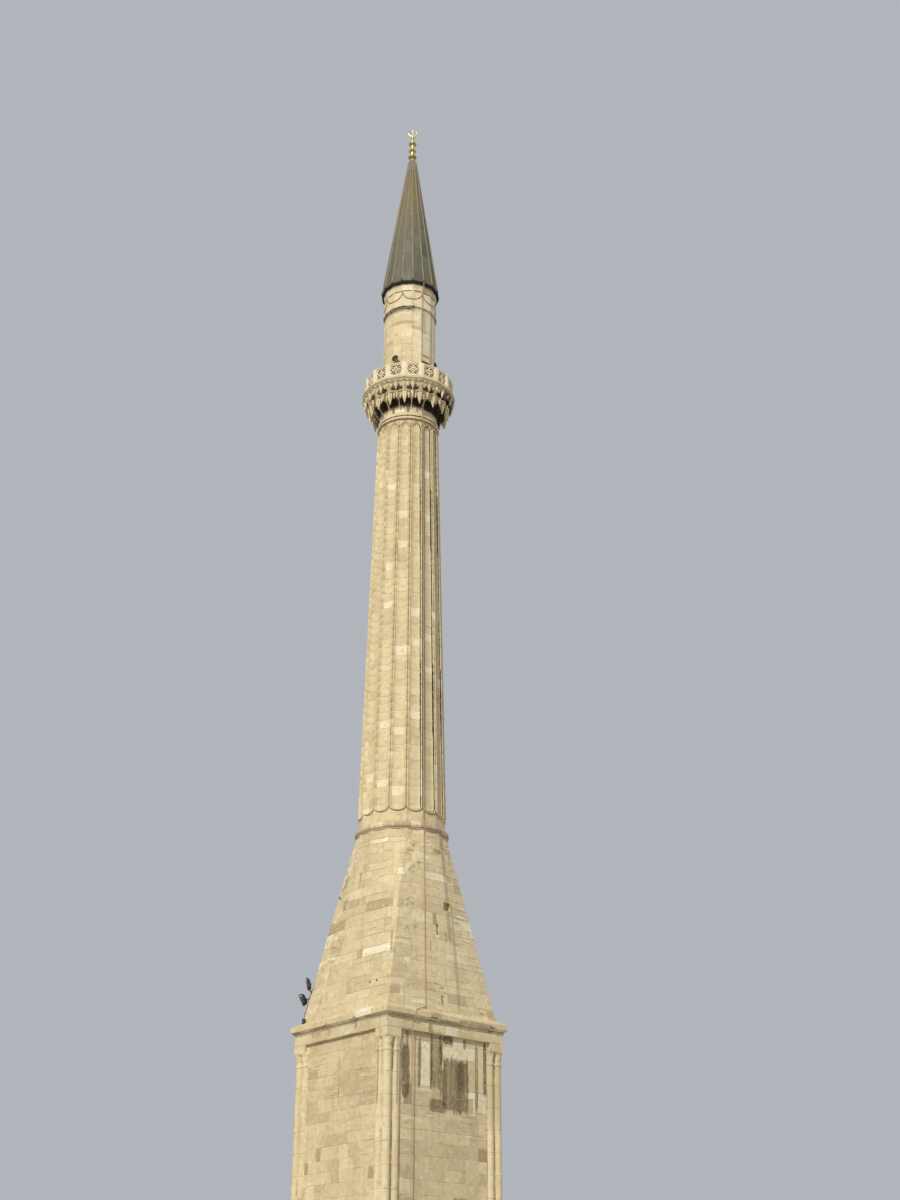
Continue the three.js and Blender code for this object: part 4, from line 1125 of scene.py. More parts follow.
def niche_ring(foot, top, front, back, crown, shoulder, rib, turn, count=16, rows=30, columns=26):
    """A ring of pointed niches. front(t) and back(t) give the radius of the ribs and of the
    hollows at a share of the height; the niche's edge falls from the crown to the shoulder
    as it nears a rib, and its back is fluted like a shell."""
    t = np.linspace(0, 1, rows)[:, None]
    pitch = 360 / count
    u = np.linspace(-1, 1, columns, endpoint=False)[None]
    edge = crown - (crown - shoulder) * (np.abs(u) / rib) ** 1.15
    inside = np.minimum((edge - t) / 0.07, (rib - np.abs(u)) / 0.07)
    hollow = smooth_step(inside)
    fan = 0.014 * np.cos(12 * np.arctan2(u * 0.8, t - crown + 0.75)) * (t > 0.12)
    radius = front(t) * (1 - hollow) + (back(t) + fan * np.minimum(1, 3 * t)) * hollow
    radius = np.tile(radius, (1, count))
    angles = (np.arange(count)[:, None] * pitch + turn + u * pitch / 2).ravel()
    outer = outward(angles)[None] * radius[..., None]
    outer[..., 2] = foot + (top - foot) * t
    # The hollows take a darker tone: painted shade.
    hollow_painted_shade = np.tile(0.62 - 0.25 * hollow[:-1], (1, count))
    return closed_ring(outer, SHAFT_WELL_RADIUS, hollow_painted_shade)


def drop(radius, angle, profile, tone, sides=16):
    """A hanging drop: a turned body with eight facets that swell and pinch towards its tip."""
    spot = outward(angle)[:2] * radius

    def star(turn, height):
        return 1 - 0.3 * np.abs(np.sin(4 * turn + 0.2)) * (height > profile[0][1] + 0.03)
    return turned(profile, sides, tone, spot, star, turn=angle)


def lobed_slab(foot, top, radius, reach, turn):
    """A thin slab whose edge comes forward in sixteen round lobes over the drops."""
    angles = np.arange(256) * 360 / 256
    edge = radius + reach * np.abs(np.cos(np.radians((angles - turn) * 8))) ** 1.4
    heights = np.array([foot, foot + 0.002, foot + 0.006, top - 0.005, top])
    push = np.array([-0.01, -0.004, 0.0, 0.0, -0.004])
    outer = outward(angles)[None] * (edge[None] + push[:, None])[..., None]
    outer[..., 2] = heights[:, None]
    return closed_ring(outer, SHAFT_WELL_RADIUS, 0.72)


lower_drop = raised(CORBEL_FOOT, [(0, 0.025), (0.01, 0.028), (0.018, 0.044), (0.015, 0.06), (0.012, 0.07),
    (0.022, 0.082), (0.029, 0.106), (0.037, 0.132), (0.047, 0.156), (0.042, 0.166), (0.053, 0.192),
    (0.061, 0.214), (0.055, 0.226), (0.066, 0.25), (0.071, 0.278), (0.064, 0.29), (0.073, 0.314),
    (0.076, 0.332), (0, 0.332)])
upper_drop = raised(CORBEL_MIDDLE, [(0, -0.013), (0.01, -0.01), (0.017, 0.005), (0.013, 0.019),
    (0.025, 0.031), (0.037, 0.053), (0.032, 0.062), (0.048, 0.083), (0.056, 0.107), (0.05, 0.118),
    (0.062, 0.141), (0.064, 0.171), (0, 0.171)])
corbel_random = np.random.default_rng(71)
lower_tier = [
    niche_ring(*LOWER_CELLS, lambda t: 0.655 + 0.245 * t ** 1.15, lambda t: 0.655 + 0.045 * t,
               0.97, 0.64, 0.93, 0.0),
    lobed_slab(*LOWER_SLAB, 0.905, 0.055, 0),
]
prong = raised(CORBEL_FOOT, [(0, 0.162), (0.008, 0.165), (0.015, 0.185), (0.012, 0.2), (0.024, 0.222),
    (0.02, 0.234), (0.033, 0.264), (0.028, 0.276), (0.04, 0.31), (0.041, 0.332), (0, 0.332)])
lower_tier += [drop(LOWER_DROP_RADIUS, k * SIXTEENTH, lower_drop, corbel_random.uniform(0.6, 0.95))
               for k in range(16)]
lower_tier += [drop(radius, (k + share) * SIXTEENTH, prong, corbel_random.uniform(0.5, 0.9), 12)
               for k in range(16) for share, radius in ((0.27, 0.875), (0.5, 0.925), (0.73, 0.875))]
upper_tier = [
    niche_ring(*UPPER_CELLS, lambda t: 0.945 + 0.085 * t ** 0.8, lambda t: 0.885 + 0.045 * t,
               0.93, 0.4, 0.78, SIXTEENTH / 2, rows=20),
    lobed_slab(*UPPER_SLAB, 1.02, 0.04, SIXTEENTH / 2),
    niche_ring(*SMALL_CELLS, lambda t: 1.042 + 0.024 * t ** 0.6, lambda t: 1.02 + 0.012 * t,
               0.9, 0.3, 0.78, 0.0, count=48, rows=9, columns=10),
]
bud = raised(CORBEL_MIDDLE, [(0, 0.063), (0.009, 0.066), (0.017, 0.081), (0.012, 0.093), (0.024, 0.111),
    (0.019, 0.121), (0.029, 0.145), (0.03, 0.173), (0, 0.173)])
upper_tier += [drop(UPPER_DROP_RADIUS, (k + 0.5) * SIXTEENTH, upper_drop, corbel_random.uniform(0.6, 0.95))
               for k in range(16)]
upper_tier += [drop(radius, (k + share) * SIXTEENTH, bud, corbel_random.uniform(0.5, 0.95), 12)
               for k in range(16) for share, radius in ((0.0, 1.025), (0.22, 1.0), (0.78, 1.0))]


def corbel_painted_shade(points):
    """Painted shade deep in the cells, and on the backs of the drops near the drum, deeper on the shaded
    side.
    """
    reach = np.hypot(points[:, 0], points[:, 1])
    shaded = smooth_step((facing_of(points) - 72) / 40)
    line = np.interp(points[:, 2], *zip(*SHADE_LINE)) + 0.05 * shaded
    depth = np.where(points[:, 2] > 21.12, 0.55 + 0.45 * shaded, 1.1)
    return depth * smooth_step((line - reach) / 0.09) * (points[:, 2] > CORBEL_FOOT + 0.03)


lower_cells = piece("corbel_lower_cells", lower_tier, carved_finish, 38, corbel_painted_shade)
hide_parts("corbel_lower_tier")
upper_cells = piece("corbel_upper_cells", upper_tier, carved_finish, 38, corbel_painted_shade)
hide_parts("corbel_upper_tier")


# Balcony floor. Sixteen slabs with a stepped double edge lie on the corbel, their corners
# under the parapet posts.
BALCONY_FLOOR_TOP = 21.43
BALCONY_RADIUS = 1.092


def sixteen_corners(radius, turn=0.0):
    """The corners of a level sixteen-sided outline, the first at an angle from the front."""
    return outward(np.arange(16) * SIXTEENTH + turn)[:, :2] * radius


balcony_random = np.random.default_rng(73)
floor_edge = raised(CORBEL_TOP, [(-0.3, 0.0015), (-0.026, 0.0015), (-0.02, 0.007), (-0.019, 0.032),
    (-0.01, 0.04), (-0.003, 0.046), (0, 0.052), (0.001, 0.078), (-0.006, 0.087), (-0.3, 0.09)])
floor_stones = moulded_run(floor_edge, sixteen_corners(BALCONY_RADIUS),
                           stone_tones(31, balcony_random, 0.0, 0.03) + 0.16)


def floor_edge_shade(points):
    """Painted shade in the step of the edge and on its underside."""
    step = 0.5 * np.exp(-((points[:, 2] - CORBEL_TOP - 0.036) / 0.01) ** 2)
    return step + 0.35 * (points[:, 2] < CORBEL_TOP + 0.006)


piece("balcony_floor_slabs", floor_stones, carved_finish, soot_and_shade=floor_edge_shade)
finish_nodes(carved_finish, "balcony_floor")


# Parapet. Between square posts stand stone slabs, each pierced with a square opening that is
# filled with four rings, woven with two crossing bars, under a flat coping.
PARAPET_RADIUS = 1.026
PARAPET_HEIGHT = 0.4
PARAPET_THICKNESS = 0.075
POST_HALF_WIDTH = 0.056
POST_PROJECTION = 0.018
OPENING_HALF_WIDTH = 0.13
OPENING_FOOT = 0.078
OPENING_TOP = 0.352
BAR_HALF_WIDTH = 0.008
BAR_HALF_DEPTH = 0.03
KNOT_RADIUS = 0.061

parapet_apothem = PARAPET_RADIUS * SIDE_COSINE
parapet_half = PARAPET_RADIUS * SIDE_SINE
parapet_top = BALCONY_FLOOR_TOP + PARAPET_HEIGHT
opening_foot = BALCONY_FLOOR_TOP + OPENING_FOOT
opening_top = BALCONY_FLOOR_TOP + OPENING_TOP
opening_middle = (opening_foot + opening_top) / 2
opening_half = (opening_top - opening_foot) / 2


def lofted(rings):
    """A closed body through loops of points, with flat ends."""
    size = len(rings[0])
    body = grid_triangles(len(rings), size, round_columns=True)
    fan = np.stack([np.zeros(size - 2, int), np.arange(2, size), np.arange(1, size - 1)], -1)
    return np.concatenate(rings), np.concatenate([body, fan, fan[:, ::-1] + (len(rings) - 1) * size])


def swept(path, across, deep, half_width, half_depth, sides=6):
    """A closed round bar along a path, its half width and half depth even or given point by
    point, with its ends closed flat."""
    turn = (np.arange(sides)[:, None] + 0.5) * 2 * np.pi / sides
    wide, tall = (np.broadcast_to(size, len(path))[:, None, None] for size in (half_width, half_depth))
    loops = across[:, None] * wide * np.cos(turn) + deep[:, None] * tall * np.sin(turn)
    return lofted(path[:, None] + loops)


def knot_ring(place, side, level):
    """One ring of the knot, in a quarter of the opening: a closed loop of square section."""
    turn = np.arange(20) * np.pi / 10
    around = (np.arange(4) + 0.5) * np.pi / 2
    middle_x = side * (OPENING_HALF_WIDTH - KNOT_RADIUS - BAR_HALF_WIDTH + 0.006)
    middle_z = opening_middle + level * (opening_half - KNOT_RADIUS - BAR_HALF_WIDTH + 0.006)
    radius = KNOT_RADIUS + BAR_HALF_WIDTH * 1.41 * np.cos(around)
    depth = -0.008 - BAR_HALF_DEPTH + BAR_HALF_DEPTH * 1.41 * np.sin(around)
    across = middle_x + radius * np.cos(turn)[:, None]
    up = middle_z - radius * np.sin(turn)[:, None]
    return place(across, depth + 0 * across, up).reshape(-1, 3), grid_triangles(20, 4, True, True)


def knot_bar(place, rising):
    """One crossing bar of the knot, from corner to corner of the opening."""
    share = np.linspace(-1, 1, 3)
    path = place(share * (OPENING_HALF_WIDTH + 0.004), np.full(3, -0.014 - BAR_HALF_DEPTH),
                 opening_middle + share * rising * (opening_half + 0.004))
    deep = place(np.zeros(3), np.ones(3), np.zeros(3)) - place(np.zeros(3), np.zeros(3), np.zeros(3))
    across = np.cross(deep, unit(path[-1] - path[0]))
    return swept(path, across, deep, BAR_HALF_WIDTH * 1.2, BAR_HALF_DEPTH * 1.4, 4)


lean = math.tan(math.radians(SIXTEENTH / 2)) * POST_HALF_WIDTH
face = PARAPET_RADIUS + POST_PROJECTION - 0.004
rear = PARAPET_RADIUS - PARAPET_THICKNESS - POST_PROJECTION
post_outline = [(-POST_HALF_WIDTH, face - lean), (0, face), (POST_HALF_WIDTH, face - lean),
                (POST_HALF_WIDTH, rear - lean), (0, rear), (-POST_HALF_WIDTH, rear - lean)]
parapet_parts = []
for k in range(16):
    place = on_side(ARRISES[k], parapet_apothem)
    tone = balcony_random.uniform(0.92, 1.0)
    rails = []
    inner = parapet_half - 0.05
    for left, right, low, high in (
            (-inner, inner, BALCONY_FLOOR_TOP, opening_foot),
            (-inner, inner, opening_top, parapet_top - 0.036),
            (-inner, -OPENING_HALF_WIDTH, opening_foot, opening_top),
            (OPENING_HALF_WIDTH, inner, opening_foot, opening_top)):
        across, out = np.array([left, right, right, left]), np.array([0, 0, -1, -1]) * PARAPET_THICKNESS
        rails.append(lofted([place(across, out, np.full(4, height)) for height in (low, high)]))
    bars = [knot_bar(place, rising) for rising in (1, -1)]
    bars += [knot_ring(place, side, level) for side in (-1, 1) for level in (-1, 1)]
    parapet_parts += [(points, triangles, tone) for points, triangles in rails + bars]
    corner = k * SIXTEENTH
    rings = [np.array([sideways(corner) * x + outward(corner) * y + UP * z for x, y in post_outline])
             for z in (BALCONY_FLOOR_TOP, parapet_top - 0.004)]
    parapet_parts.append((*lofted(rings), balcony_random.uniform(0.94, 1.0)))
coping = raised(parapet_top, [(-PARAPET_THICKNESS - 0.008, -0.034), (0.008, -0.034), (0.01, -0.028),
    (0.01, -0.006), (0.004, -0.001), (-PARAPET_THICKNESS - 0.008, -0.001)])
parapet_parts += moulded_run(coping, sixteen_corners(PARAPET_RADIUS),
                             stone_tones(31, balcony_random, 0.2, 0.02) + 0.1)


def parapet_stains_and_shade(points):
    """Weather stains along the foot, and painted shade in the openings behind the face of the slabs."""
    turn = facing_of(points) % SIXTEENTH - SIXTEENTH / 2
    depth = parapet_apothem - np.hypot(points[:, 0], points[:, 1]) * np.cos(np.radians(turn))
    opening = (points[:, 2] > opening_foot - 0.01) & (points[:, 2] < opening_top + 0.01)
    foot = 0.2 * np.exp(-(points[:, 2] - BALCONY_FLOOR_TOP) / 0.03)
    return foot + 1.2 * opening * smooth_step((depth - 0.01) / 0.016)


PARAPET_TONES = ((0.0, linear(196, 178, 140)), (0.8, linear(228, 213, 175)), (1.0, linear(238, 226, 194)))
parapet_finish = stone_finish("parapet_stone", PARAPET_TONES, 0.15)
parapet = piece("parapet_slabs", parapet_parts, parapet_finish, soot_and_shade=parapet_stains_and_shade)
for k in range(8):
    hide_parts(f"parapet_bays_{k + 1}")


# Upper shaft. Sixteen plain faces of squared stones rise from the balcony, open at the
# doorway, with one thin roll round them near the top.
UPPER_RADIUS = 0.613
UPPER_TOP = 24.155
UPPER_COURSE = 0.205
UPPER_STONE = 0.26
UPPER_LAST_COURSE = 0.23
BAND_Z = 23.69
BAND_HALF = 0.03
BALCONY_DOOR_HALF_WIDTH = 0.112
BALCONY_DOOR_TOP = BALCONY_FLOOR_TOP + 0.76
BALCONY_DOOR_SIDE = 4
LEDGE_FOOT = 22.098

UPPER_STAINS = (
    # The first, a broad pale wash over the doorway face and its neighbours, is painted light on the shaded
    # side.
    ("pale", (0.62, 0.05, 22.8), (0.16, 0.36, 1.35), 0.6),
    ("moss", (0.61, -0.08, 23.25), (0.12, 0.08, 0.3), 0.4),
    ("moss", (0.61, 0.0, 22.8), (0.12, 0.12, 0.9), 0.14),
    ("brown", (0.35, -0.5, 23.24), (0.28, 0.28, 0.05), 0.55),
    ("brown", (0.56, -0.25, 23.1), (0.1, 0.12, 0.045), 0.6),
    ("brown", (0.0, -0.61, 22.75), (0.14, 0.1, 0.06), 0.45),
    ("brown", (0.2, -0.58, 22.92), (0.06, 0.1, 0.05), 0.4),
    ("soot_and_shade", (0.58, 0.2, 22.9), (0.12, 0.04, 0.8), 0.3),
)
upper_finish = stone_finish("upper_ashlar", streaks=0.2, stains=UPPER_STAINS)


upper_random = np.random.default_rng(79)
upper_side = face_places(lambda share: outward(ARRISES) * UPPER_RADIUS, BALCONY_FLOOR_TOP, UPPER_TOP)
upper_face = 2 * UPPER_RADIUS * SIDE_SINE
upper_joints = np.concatenate([courses(BALCONY_FLOOR_TOP, BAND_Z - BAND_HALF, UPPER_COURSE, upper_random),
                               courses(BAND_Z + BAND_HALF, UPPER_TOP, UPPER_LAST_COURSE, upper_random)])
door_hole = [(BALCONY_DOOR_SIDE, upper_face / 2 - BALCONY_DOOR_HALF_WIDTH,
              upper_face / 2 + BALCONY_DOOR_HALF_WIDTH, BALCONY_FLOOR_TOP, BALCONY_DOOR_TOP)]
upper_parts = sided_wall(upper_side, upper_joints, UPPER_STONE, upper_random, door_hole, 0.004,
                         pale=0.02, brown=0.02, wrapped=False)
upper_parts = [(*body, np.clip(0.8 * tones + 0.34, 0, 0.93)) for *body, tones in upper_parts]
band = raised(BAND_Z, [(-0.01, -0.026), (0.01, -0.026), (0.026, -0.016), (0.03, 0), (0.024, 0.016),
    (0.006, 0.03), (-0.01, 0.03)])
upper_outline = sixteen_corners(UPPER_RADIUS, SIXTEENTH / 2)
upper_parts += moulded_run(band, upper_outline, stone_tones(31, upper_random, 0.2, 0.0) + 0.08)


def upper_shade_and_grime(points):
    """Painted shade under the band, and the grime of hands and rain at the foot."""
    under = 1.1 * np.exp(-((points[:, 2] - BAND_Z + BAND_HALF) / 0.012) ** 2)
    turn = facing_of(points) / SIXTEENTH
    arris = np.abs(turn % 1 - 0.5) * np.radians(SIXTEENTH) * UPPER_RADIUS < 0.004
    return under + 0.5 * arris + 0.12 * np.exp(-(points[:, 2] - BALCONY_FLOOR_TOP) / 0.3)


piece("upper_shaft_stones", upper_parts, upper_finish, soot_and_shade=upper_shade_and_grime)

# Balcony doorway. Two thin flat stones lie over it, a lintel and a hood higher up, and a small ledge is
# beside it.
door_place = metric(upper_side, BALCONY_DOOR_SIDE, BALCONY_FLOOR_TOP)
ledge_place = metric(upper_side, BALCONY_DOOR_SIDE - 1, BALCONY_FLOOR_TOP)
middle = upper_face / 2
door_parts = [plate(place, left, right, foot, foot + 0.022, 0.03, 0.045, 0.75)
              for place, left, right, foot in (
                  (door_place, middle - 0.12, middle + 0.12, BALCONY_DOOR_TOP),
                  (door_place, middle - 0.105, middle + 0.105, BALCONY_DOOR_TOP + 0.17),
                  (ledge_place, 0.042, 0.158, LEDGE_FOOT))]
piece("doorway_hood", door_parts, dressed_finish)


# Swags. Under the cornice hang eight carved festoons, each across two faces, with a small
# drop where two of them meet. Above them a thin near-black plate on each face paints the
# shade of a sunk strip.
SWAG_TOP = 24.14
SWAG_SAG = 0.24
SWAG_START = 33.75


def swag(index):
    """A festoon: a half oval that hangs from arris to arris across the middle one."""
    share = np.linspace(0, 1, 33)
    arrises = sixteen_corners(UPPER_RADIUS + 0.004, SWAG_START + 45 * index)
    level = np.stack([np.interp(share, (0, 0.5, 1), arrises[:3, k]) for k in range(2)], -1)
    sag = SWAG_TOP - SWAG_SAG * np.sqrt(np.maximum(1 - (2 * share - 1) ** 2, 0))
    path = np.column_stack([level, sag])
    away = np.column_stack([level, np.zeros(len(share))]) / UPPER_RADIUS
    along = unit(np.gradient(path, axis=0))
    return (*swept(path, np.cross(away, along), away, 0.013, 0.016), 0.05)


swag_parts = [swag(index) for index in range(8)]
tassel = raised(SWAG_TOP, [(0, -0.095), (0.008, -0.09), (0.013, -0.072), (0.009, -0.055), (0.013, -0.04),
    (0.018, -0.015), (0.014, 0.01), (0, 0.012)])
swag_parts += [turned(tassel, 10, 0.7, outward(SWAG_START + 45 * k)[:2] * UPPER_RADIUS)
               for k in range(8)]
# The festoons carry a low tone and some soot colour all over: painted shade, so that they read as dark lines.
piece("swags", swag_parts, carved_finish, smooth=60,
      soot_and_shade=lambda points: np.full(len(points), 0.3))
# Near-black plates along the top of each face paint the shade of the sunk strips.
sunk_strip_shade_plates = [plate(metric(upper_side, k, UPPER_TOP), 0.03, upper_face - 0.03, UPPER_TOP - 0.019,
                UPPER_TOP - 0.001, 0.0065, 0.004) for k in range(16)]
piece("sunk_strip_shade", sunk_strip_shade_plates, hole_shade_finish)


# Eave cornice. A tall hollow moulding of sixteen mitred stones carries the cone's edge.
CONE_FOOT = 24.352
EAVE_REPAIR = 7
eave_profile = raised(UPPER_TOP, [(-0.3, 0.002), (0.004, 0.002), (0.01, 0.013), (0.01, 0.029),
    (0.004, 0.035), (0.006, 0.06), (0.01, 0.09), (0.016, 0.113), (0.026, 0.129), (0.026, 0.141),
    (0.018, 0.147), (0.02, 0.163), (0.03, 0.175), (0.03, 0.1955), (-0.3, 0.1955)])


def eave_painted_shade(points):
    """Painted shade in the hollow just under the metal edge."""
    return 0.6 * smooth_step((points[:, 2] - CONE_FOOT + 0.057) / 0.03)


eave_tones = stone_tones(31, upper_random, 0.2, 0.0) - 0.12
eave_tones[EAVE_REPAIR] = 1.0
eave = piece("eave_cornice_stones", moulded_run(eave_profile, upper_outline, eave_tones),
             dressed_finish, smooth=35, soot_and_shade=eave_painted_shade)
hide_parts("eave_cornice")
finish_nodes(mortar_finish, "upper_shaft")


# Cone. The spire is boarded and covered with lead sheets. Standing rolls run up its sixteen
# arrises, the sheets lap each other in level welts, and its edge is turned over the cornice.
CONE_EDGE_TOP = 24.398
CONE_RADIUS = 0.684
CONE_TOP = 28.615
CONE_TOP_RADIUS = 0.084
# Heights between which brown dirt sets in, and others between which it ends
BROWN_FOOT = (25.4, 27.6)
BROWN_HEAD = (28.15, 27.95)


def lead_finish():
    """Weathered lead: dull grey with a pale bloom, run marks, brown dirt, near-black painted shade where the
    soot value asks for it, and a soft dented skin.
    """
    finish, shader, node, link = new_finish("weathered_lead")
    place = node("TexCoord").outputs["Object"]
    tone = attribute(node, "tone")
    soot_and_shade = attribute(node, "soot_and_shade")
    cloud = noise(node, place, 1.3, 5.0, 0.6, (1, 1, 0.5))
    run = noise(node, place, 1.0, 5.0, 0.65, (14, 14, 0.6))
    fine = noise(node, place, 34.0, 5.0, 0.65)
    colour = mixed(node, tone, linear(84, 81, 67), linear(122, 119, 103))
    colour = washed(node, colour, cloud, 0.38, 0.68, 0.5, linear(118, 108, 84))
    colour = washed(node, colour, run, 0.5, 0.78, 0.45, linear(152, 148, 128))
    colour = washed(node, colour, run, 0.48, 0.28, 0.35, linear(58, 53, 40))
    height = node("SeparateXYZ", {0: place}).outputs["Z"]
    band_low = between(node, height, *BROWN_FOOT)
    band_high = between(node, height, *BROWN_HEAD)
    brown = times(node, times(node, band_low, band_high), between(node, cloud, 0.38, 0.6, 0.0, 0.48))
    colour = mixed(node, brown, colour, linear(134, 114, 70))
    colour = washed(node, colour, tone, 0.9, 0.98, 0.32, linear(166, 156, 122))
    colour = mixed(node, soot_and_shade, colour, linear(20, 18, 15))
    link(colour, "Base Color")
    link(between(node, fine, 0.3, 0.7, 0.62, 0.8), "Roughness")
    shader.inputs["Metallic"].default_value = 0.1
    shader.inputs["Specular IOR Level"].default_value = 0.35
    dent = times(node, times(node, fine, 0.25), times(node, cloud, 1.2), "ADD")
    roughen(node, link, dent, 0.5, 0.02)
    return finish


weathered_lead = lead_finish()


def cone_corners(share):
    """The cone's arrises at a share of its height."""
    return outward(ARRISES) * (CONE_RADIUS + (CONE_TOP_RADIUS - CONE_RADIUS) * share)


def full_width(foot, top):
    """Spans as wide as a side, from their feet and tops."""
    return np.column_stack([0 * foot, 0 * foot + 1, foot, top])


cone_random = np.random.default_rng(83)
cone_side = face_places(cone_corners, CONE_EDGE_TOP, CONE_TOP)
SHEET_WELTS = ((24.74, 25.3, 25.78, 26.23, 26.75, 27.25, 27.72, 28.22),
               (25.02, 25.5, 26.0, 26.5, 27.0, 27.48, 27.96, 28.3))
cone_parts = []
for k in range(16):
    place, width = cone_side(k)
    joints = np.array([CONE_EDGE_TOP, *SHEET_WELTS[k % 2], CONE_TOP])
    joints[1:-1] += cone_random.uniform(-0.05, 0.05, len(joints) - 2)
    spans = full_width(joints[:-1] + 0.001, joints[1:] - 0.001)
    tones = np.clip(0.48 + 0.12 * cone_random.standard_normal(len(spans)), 0, 0.88)

    def sheet(across, out, up):
        return place(np.clip(across, 0.02, 0.98), out, up)

    cone_parts.append(blocks(sheet, spans, tones, cone_random.uniform(0.003, 0.006, len(spans)),
                             lip=0.0015, seat=0.003, edge=0.012))
    welts = full_width(joints[1:-1] - 0.011, joints[1:-1] + 0.007)
    cone_parts.append(blocks(sheet, welts, np.full(len(welts), 0.97), np.full(len(welts), 0.011),
                             lip=0.004, seat=0.002, edge=0.006))


def arris_roll(k):
    """A round standing roll up one arris of the cone, a little uneven as hand-dressed lead is."""
    share = np.linspace(0, 1, 40)
    low, high = (cone_corners(end)[k] for end in (0.0, 1.0))
    level = low + (high - low) * share[:, None]
    wander = 0.0015 * np.sin(share * 60 + 5 * k)
    away = outward((k + 0.5) * SIXTEENTH)
    path = level + away * (0.004 + wander)[:, None]
    path[:, 2] = CONE_EDGE_TOP + (CONE_TOP - 0.02 - CONE_EDGE_TOP) * share
    across = np.repeat(sideways((k + 0.5) * SIXTEENTH)[None], len(share), 0)
    return (*swept(path, across, np.repeat(away[None], len(share), 0), 0.017, 0.019, 8), 1.0)


cone_parts += [arris_roll(k) for k in range(16)]
edge = raised(CONE_FOOT, [(-0.039, 0), (-0.008, -0.012), (0.004, -0.01), (0.009, 0.004), (0.007, 0.04),
    (0.004, 0.056), (-0.01, 0.062), (-0.039, 0.062)])
cone_parts += moulded_run(edge, sixteen_corners(CONE_RADIUS, SIXTEENTH / 2), [0.15])
cap = raised(CONE_TOP, [(0, -0.395), (0.139, -0.385), (0.146, -0.37), (0.14, -0.353), (0.118, -0.195),
    (0.096, -0.03), (0.098, -0.015), (0.088, 0.003), (0.06, 0.009), (0, 0.009)])
cone_parts.append(turned(cap, 32, 0.8))


def cone_edge_shade(points):
    """Painted shade, near black, on the turned edge and on the very foot of the lowest sheets."""
    return smooth_step((CONE_EDGE_TOP + 0.014 - points[:, 2]) / 0.006)


piece("lead_sheets", cone_parts, weathered_lead, smooth=40, soot_and_shade=cone_edge_shade)
finish_nodes(weathered_lead, "cone")


# Finial. Gilded copper bulbs and collars, turned and burnished, are threaded on an iron
# needle, and a crescent open upwards stands on top.
def gilding_finish():
    """Pale gold leaf on copper: bright and burnished, with dull olive wear, fine scratches and
    painted shade on the undersides."""
    finish, shader, node, link = new_finish("gold_leaf")
    place = node("TexCoord").outputs["Object"]
    wear = noise(node, place, 9.0, 6.0, 0.7)
    fine = noise(node, place, 120.0, 3.0, 0.6, (1, 1, 4))
    colour = mixed(node, between(node, wear, 0.42, 0.7, 0.0, 0.55), linear(236, 208, 130),
                   linear(152, 122, 58))
    underside_shade = attribute(node, "soot_and_shade")
    colour = mixed(node, underside_shade, colour, linear(60, 48, 18))
    link(colour, "Base Color")
    shader.inputs["Metallic"].default_value = 1.0
    link(between(node, wear, 0.3, 0.75, 0.2, 0.46), "Roughness")
    roughen(node, link, fine, 0.15, 0.004)
    return finish


gold_leaf = gilding_finish()
finial_profile = raised(CONE_TOP, [(0, 0.001), (0.06, 0.002), (0.064, 0.017), (0.062, 0.04), (0.054, 0.065),
    (0.05, 0.085), (0.052, 0.099), (0.074, 0.107), (0.096, 0.119), (0.105, 0.133), (0.106, 0.143),
    (0.098, 0.157), (0.076, 0.17), (0.054, 0.182), (0.046, 0.197), (0.043, 0.235), (0.044, 0.285),
    (0.048, 0.305), (0.066, 0.315), (0.086, 0.326), (0.093, 0.34), (0.086, 0.355), (0.066, 0.366),
    (0.05, 0.377), (0.044, 0.405), (0.041, 0.455), (0.042, 0.5), (0.046, 0.519), (0.066, 0.533),
    (0.088, 0.548), (0.097, 0.563), (0.097, 0.573), (0.088, 0.591), (0.068, 0.608), (0.044, 0.625),
    (0.032, 0.643), (0.026, 0.675), (0.026, 0.72), (0.032, 0.743), (0.04, 0.761), (0.042, 0.779),
    (0.036, 0.797), (0.024, 0.813), (0.014, 0.822), (0, 0.823)])


def finial_underside_shade(points):
    """Painted shade on the underside of each bulb and collar, read off by height."""
    return np.interp(points[:, 2], (28.71, 28.722, 28.75, 28.765, 28.925, 28.932, 28.95, 28.96, 29.14,
                                    29.15, 29.178, 29.19, 29.35, 29.36, 29.385, 29.395),
                     (0, 0.6, 0.4, 0, 0, 0.6, 0.4, 0, 0, 0.6, 0.4, 0, 0, 0.5, 0.3, 0))


finial = piece("finial_bulbs", [turned(finial_profile, 48, 0.5)], gold_leaf, smooth=50,
               soot_and_shade=finial_underside_shade)
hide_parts("finial")

CRESCENT_CENTRE = 29.556
CRESCENT_RADIUS = 0.106
CRESCENT_FACING = 49


def crescent_horns():
    """The crescent: a round bar bent into most of a circle, thick below and thin at its tips."""
    turn = np.radians(np.linspace(-130, 130, 49))
    thick = 0.007 + 0.015 * np.maximum(np.cos(turn * 90 / 130), 0) ** 0.8
    radius = CRESCENT_RADIUS + 0.006 * np.cos(turn)
    side, away = sideways(CRESCENT_FACING), outward(CRESCENT_FACING)
    path = (side * (radius * np.sin(turn))[:, None]
            + UP * (CRESCENT_CENTRE - radius * np.cos(turn))[:, None])
    radial = side * np.sin(turn)[:, None] - UP * np.cos(turn)[:, None]
    deep = np.repeat(away[None], len(turn), 0)
    return (*swept(path, radial, deep, thick, thick * 0.8, 12), 0.5)


needle = raised(CRESCENT_CENTRE, [(0, -0.126), (0.0065, -0.124), (0.006, -0.006), (0.006, 0.224),
    (0.01, 0.233), (0.013, 0.244), (0.01, 0.255), (0.005, 0.266), (0.0035, 0.364), (0.0015, 0.443),
    (0, 0.444)])
crescent = piece("crescent_and_needle", [crescent_horns(), turned(needle, 16, 0.5)], gold_leaf,
                 smooth=50)
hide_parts("crescent")


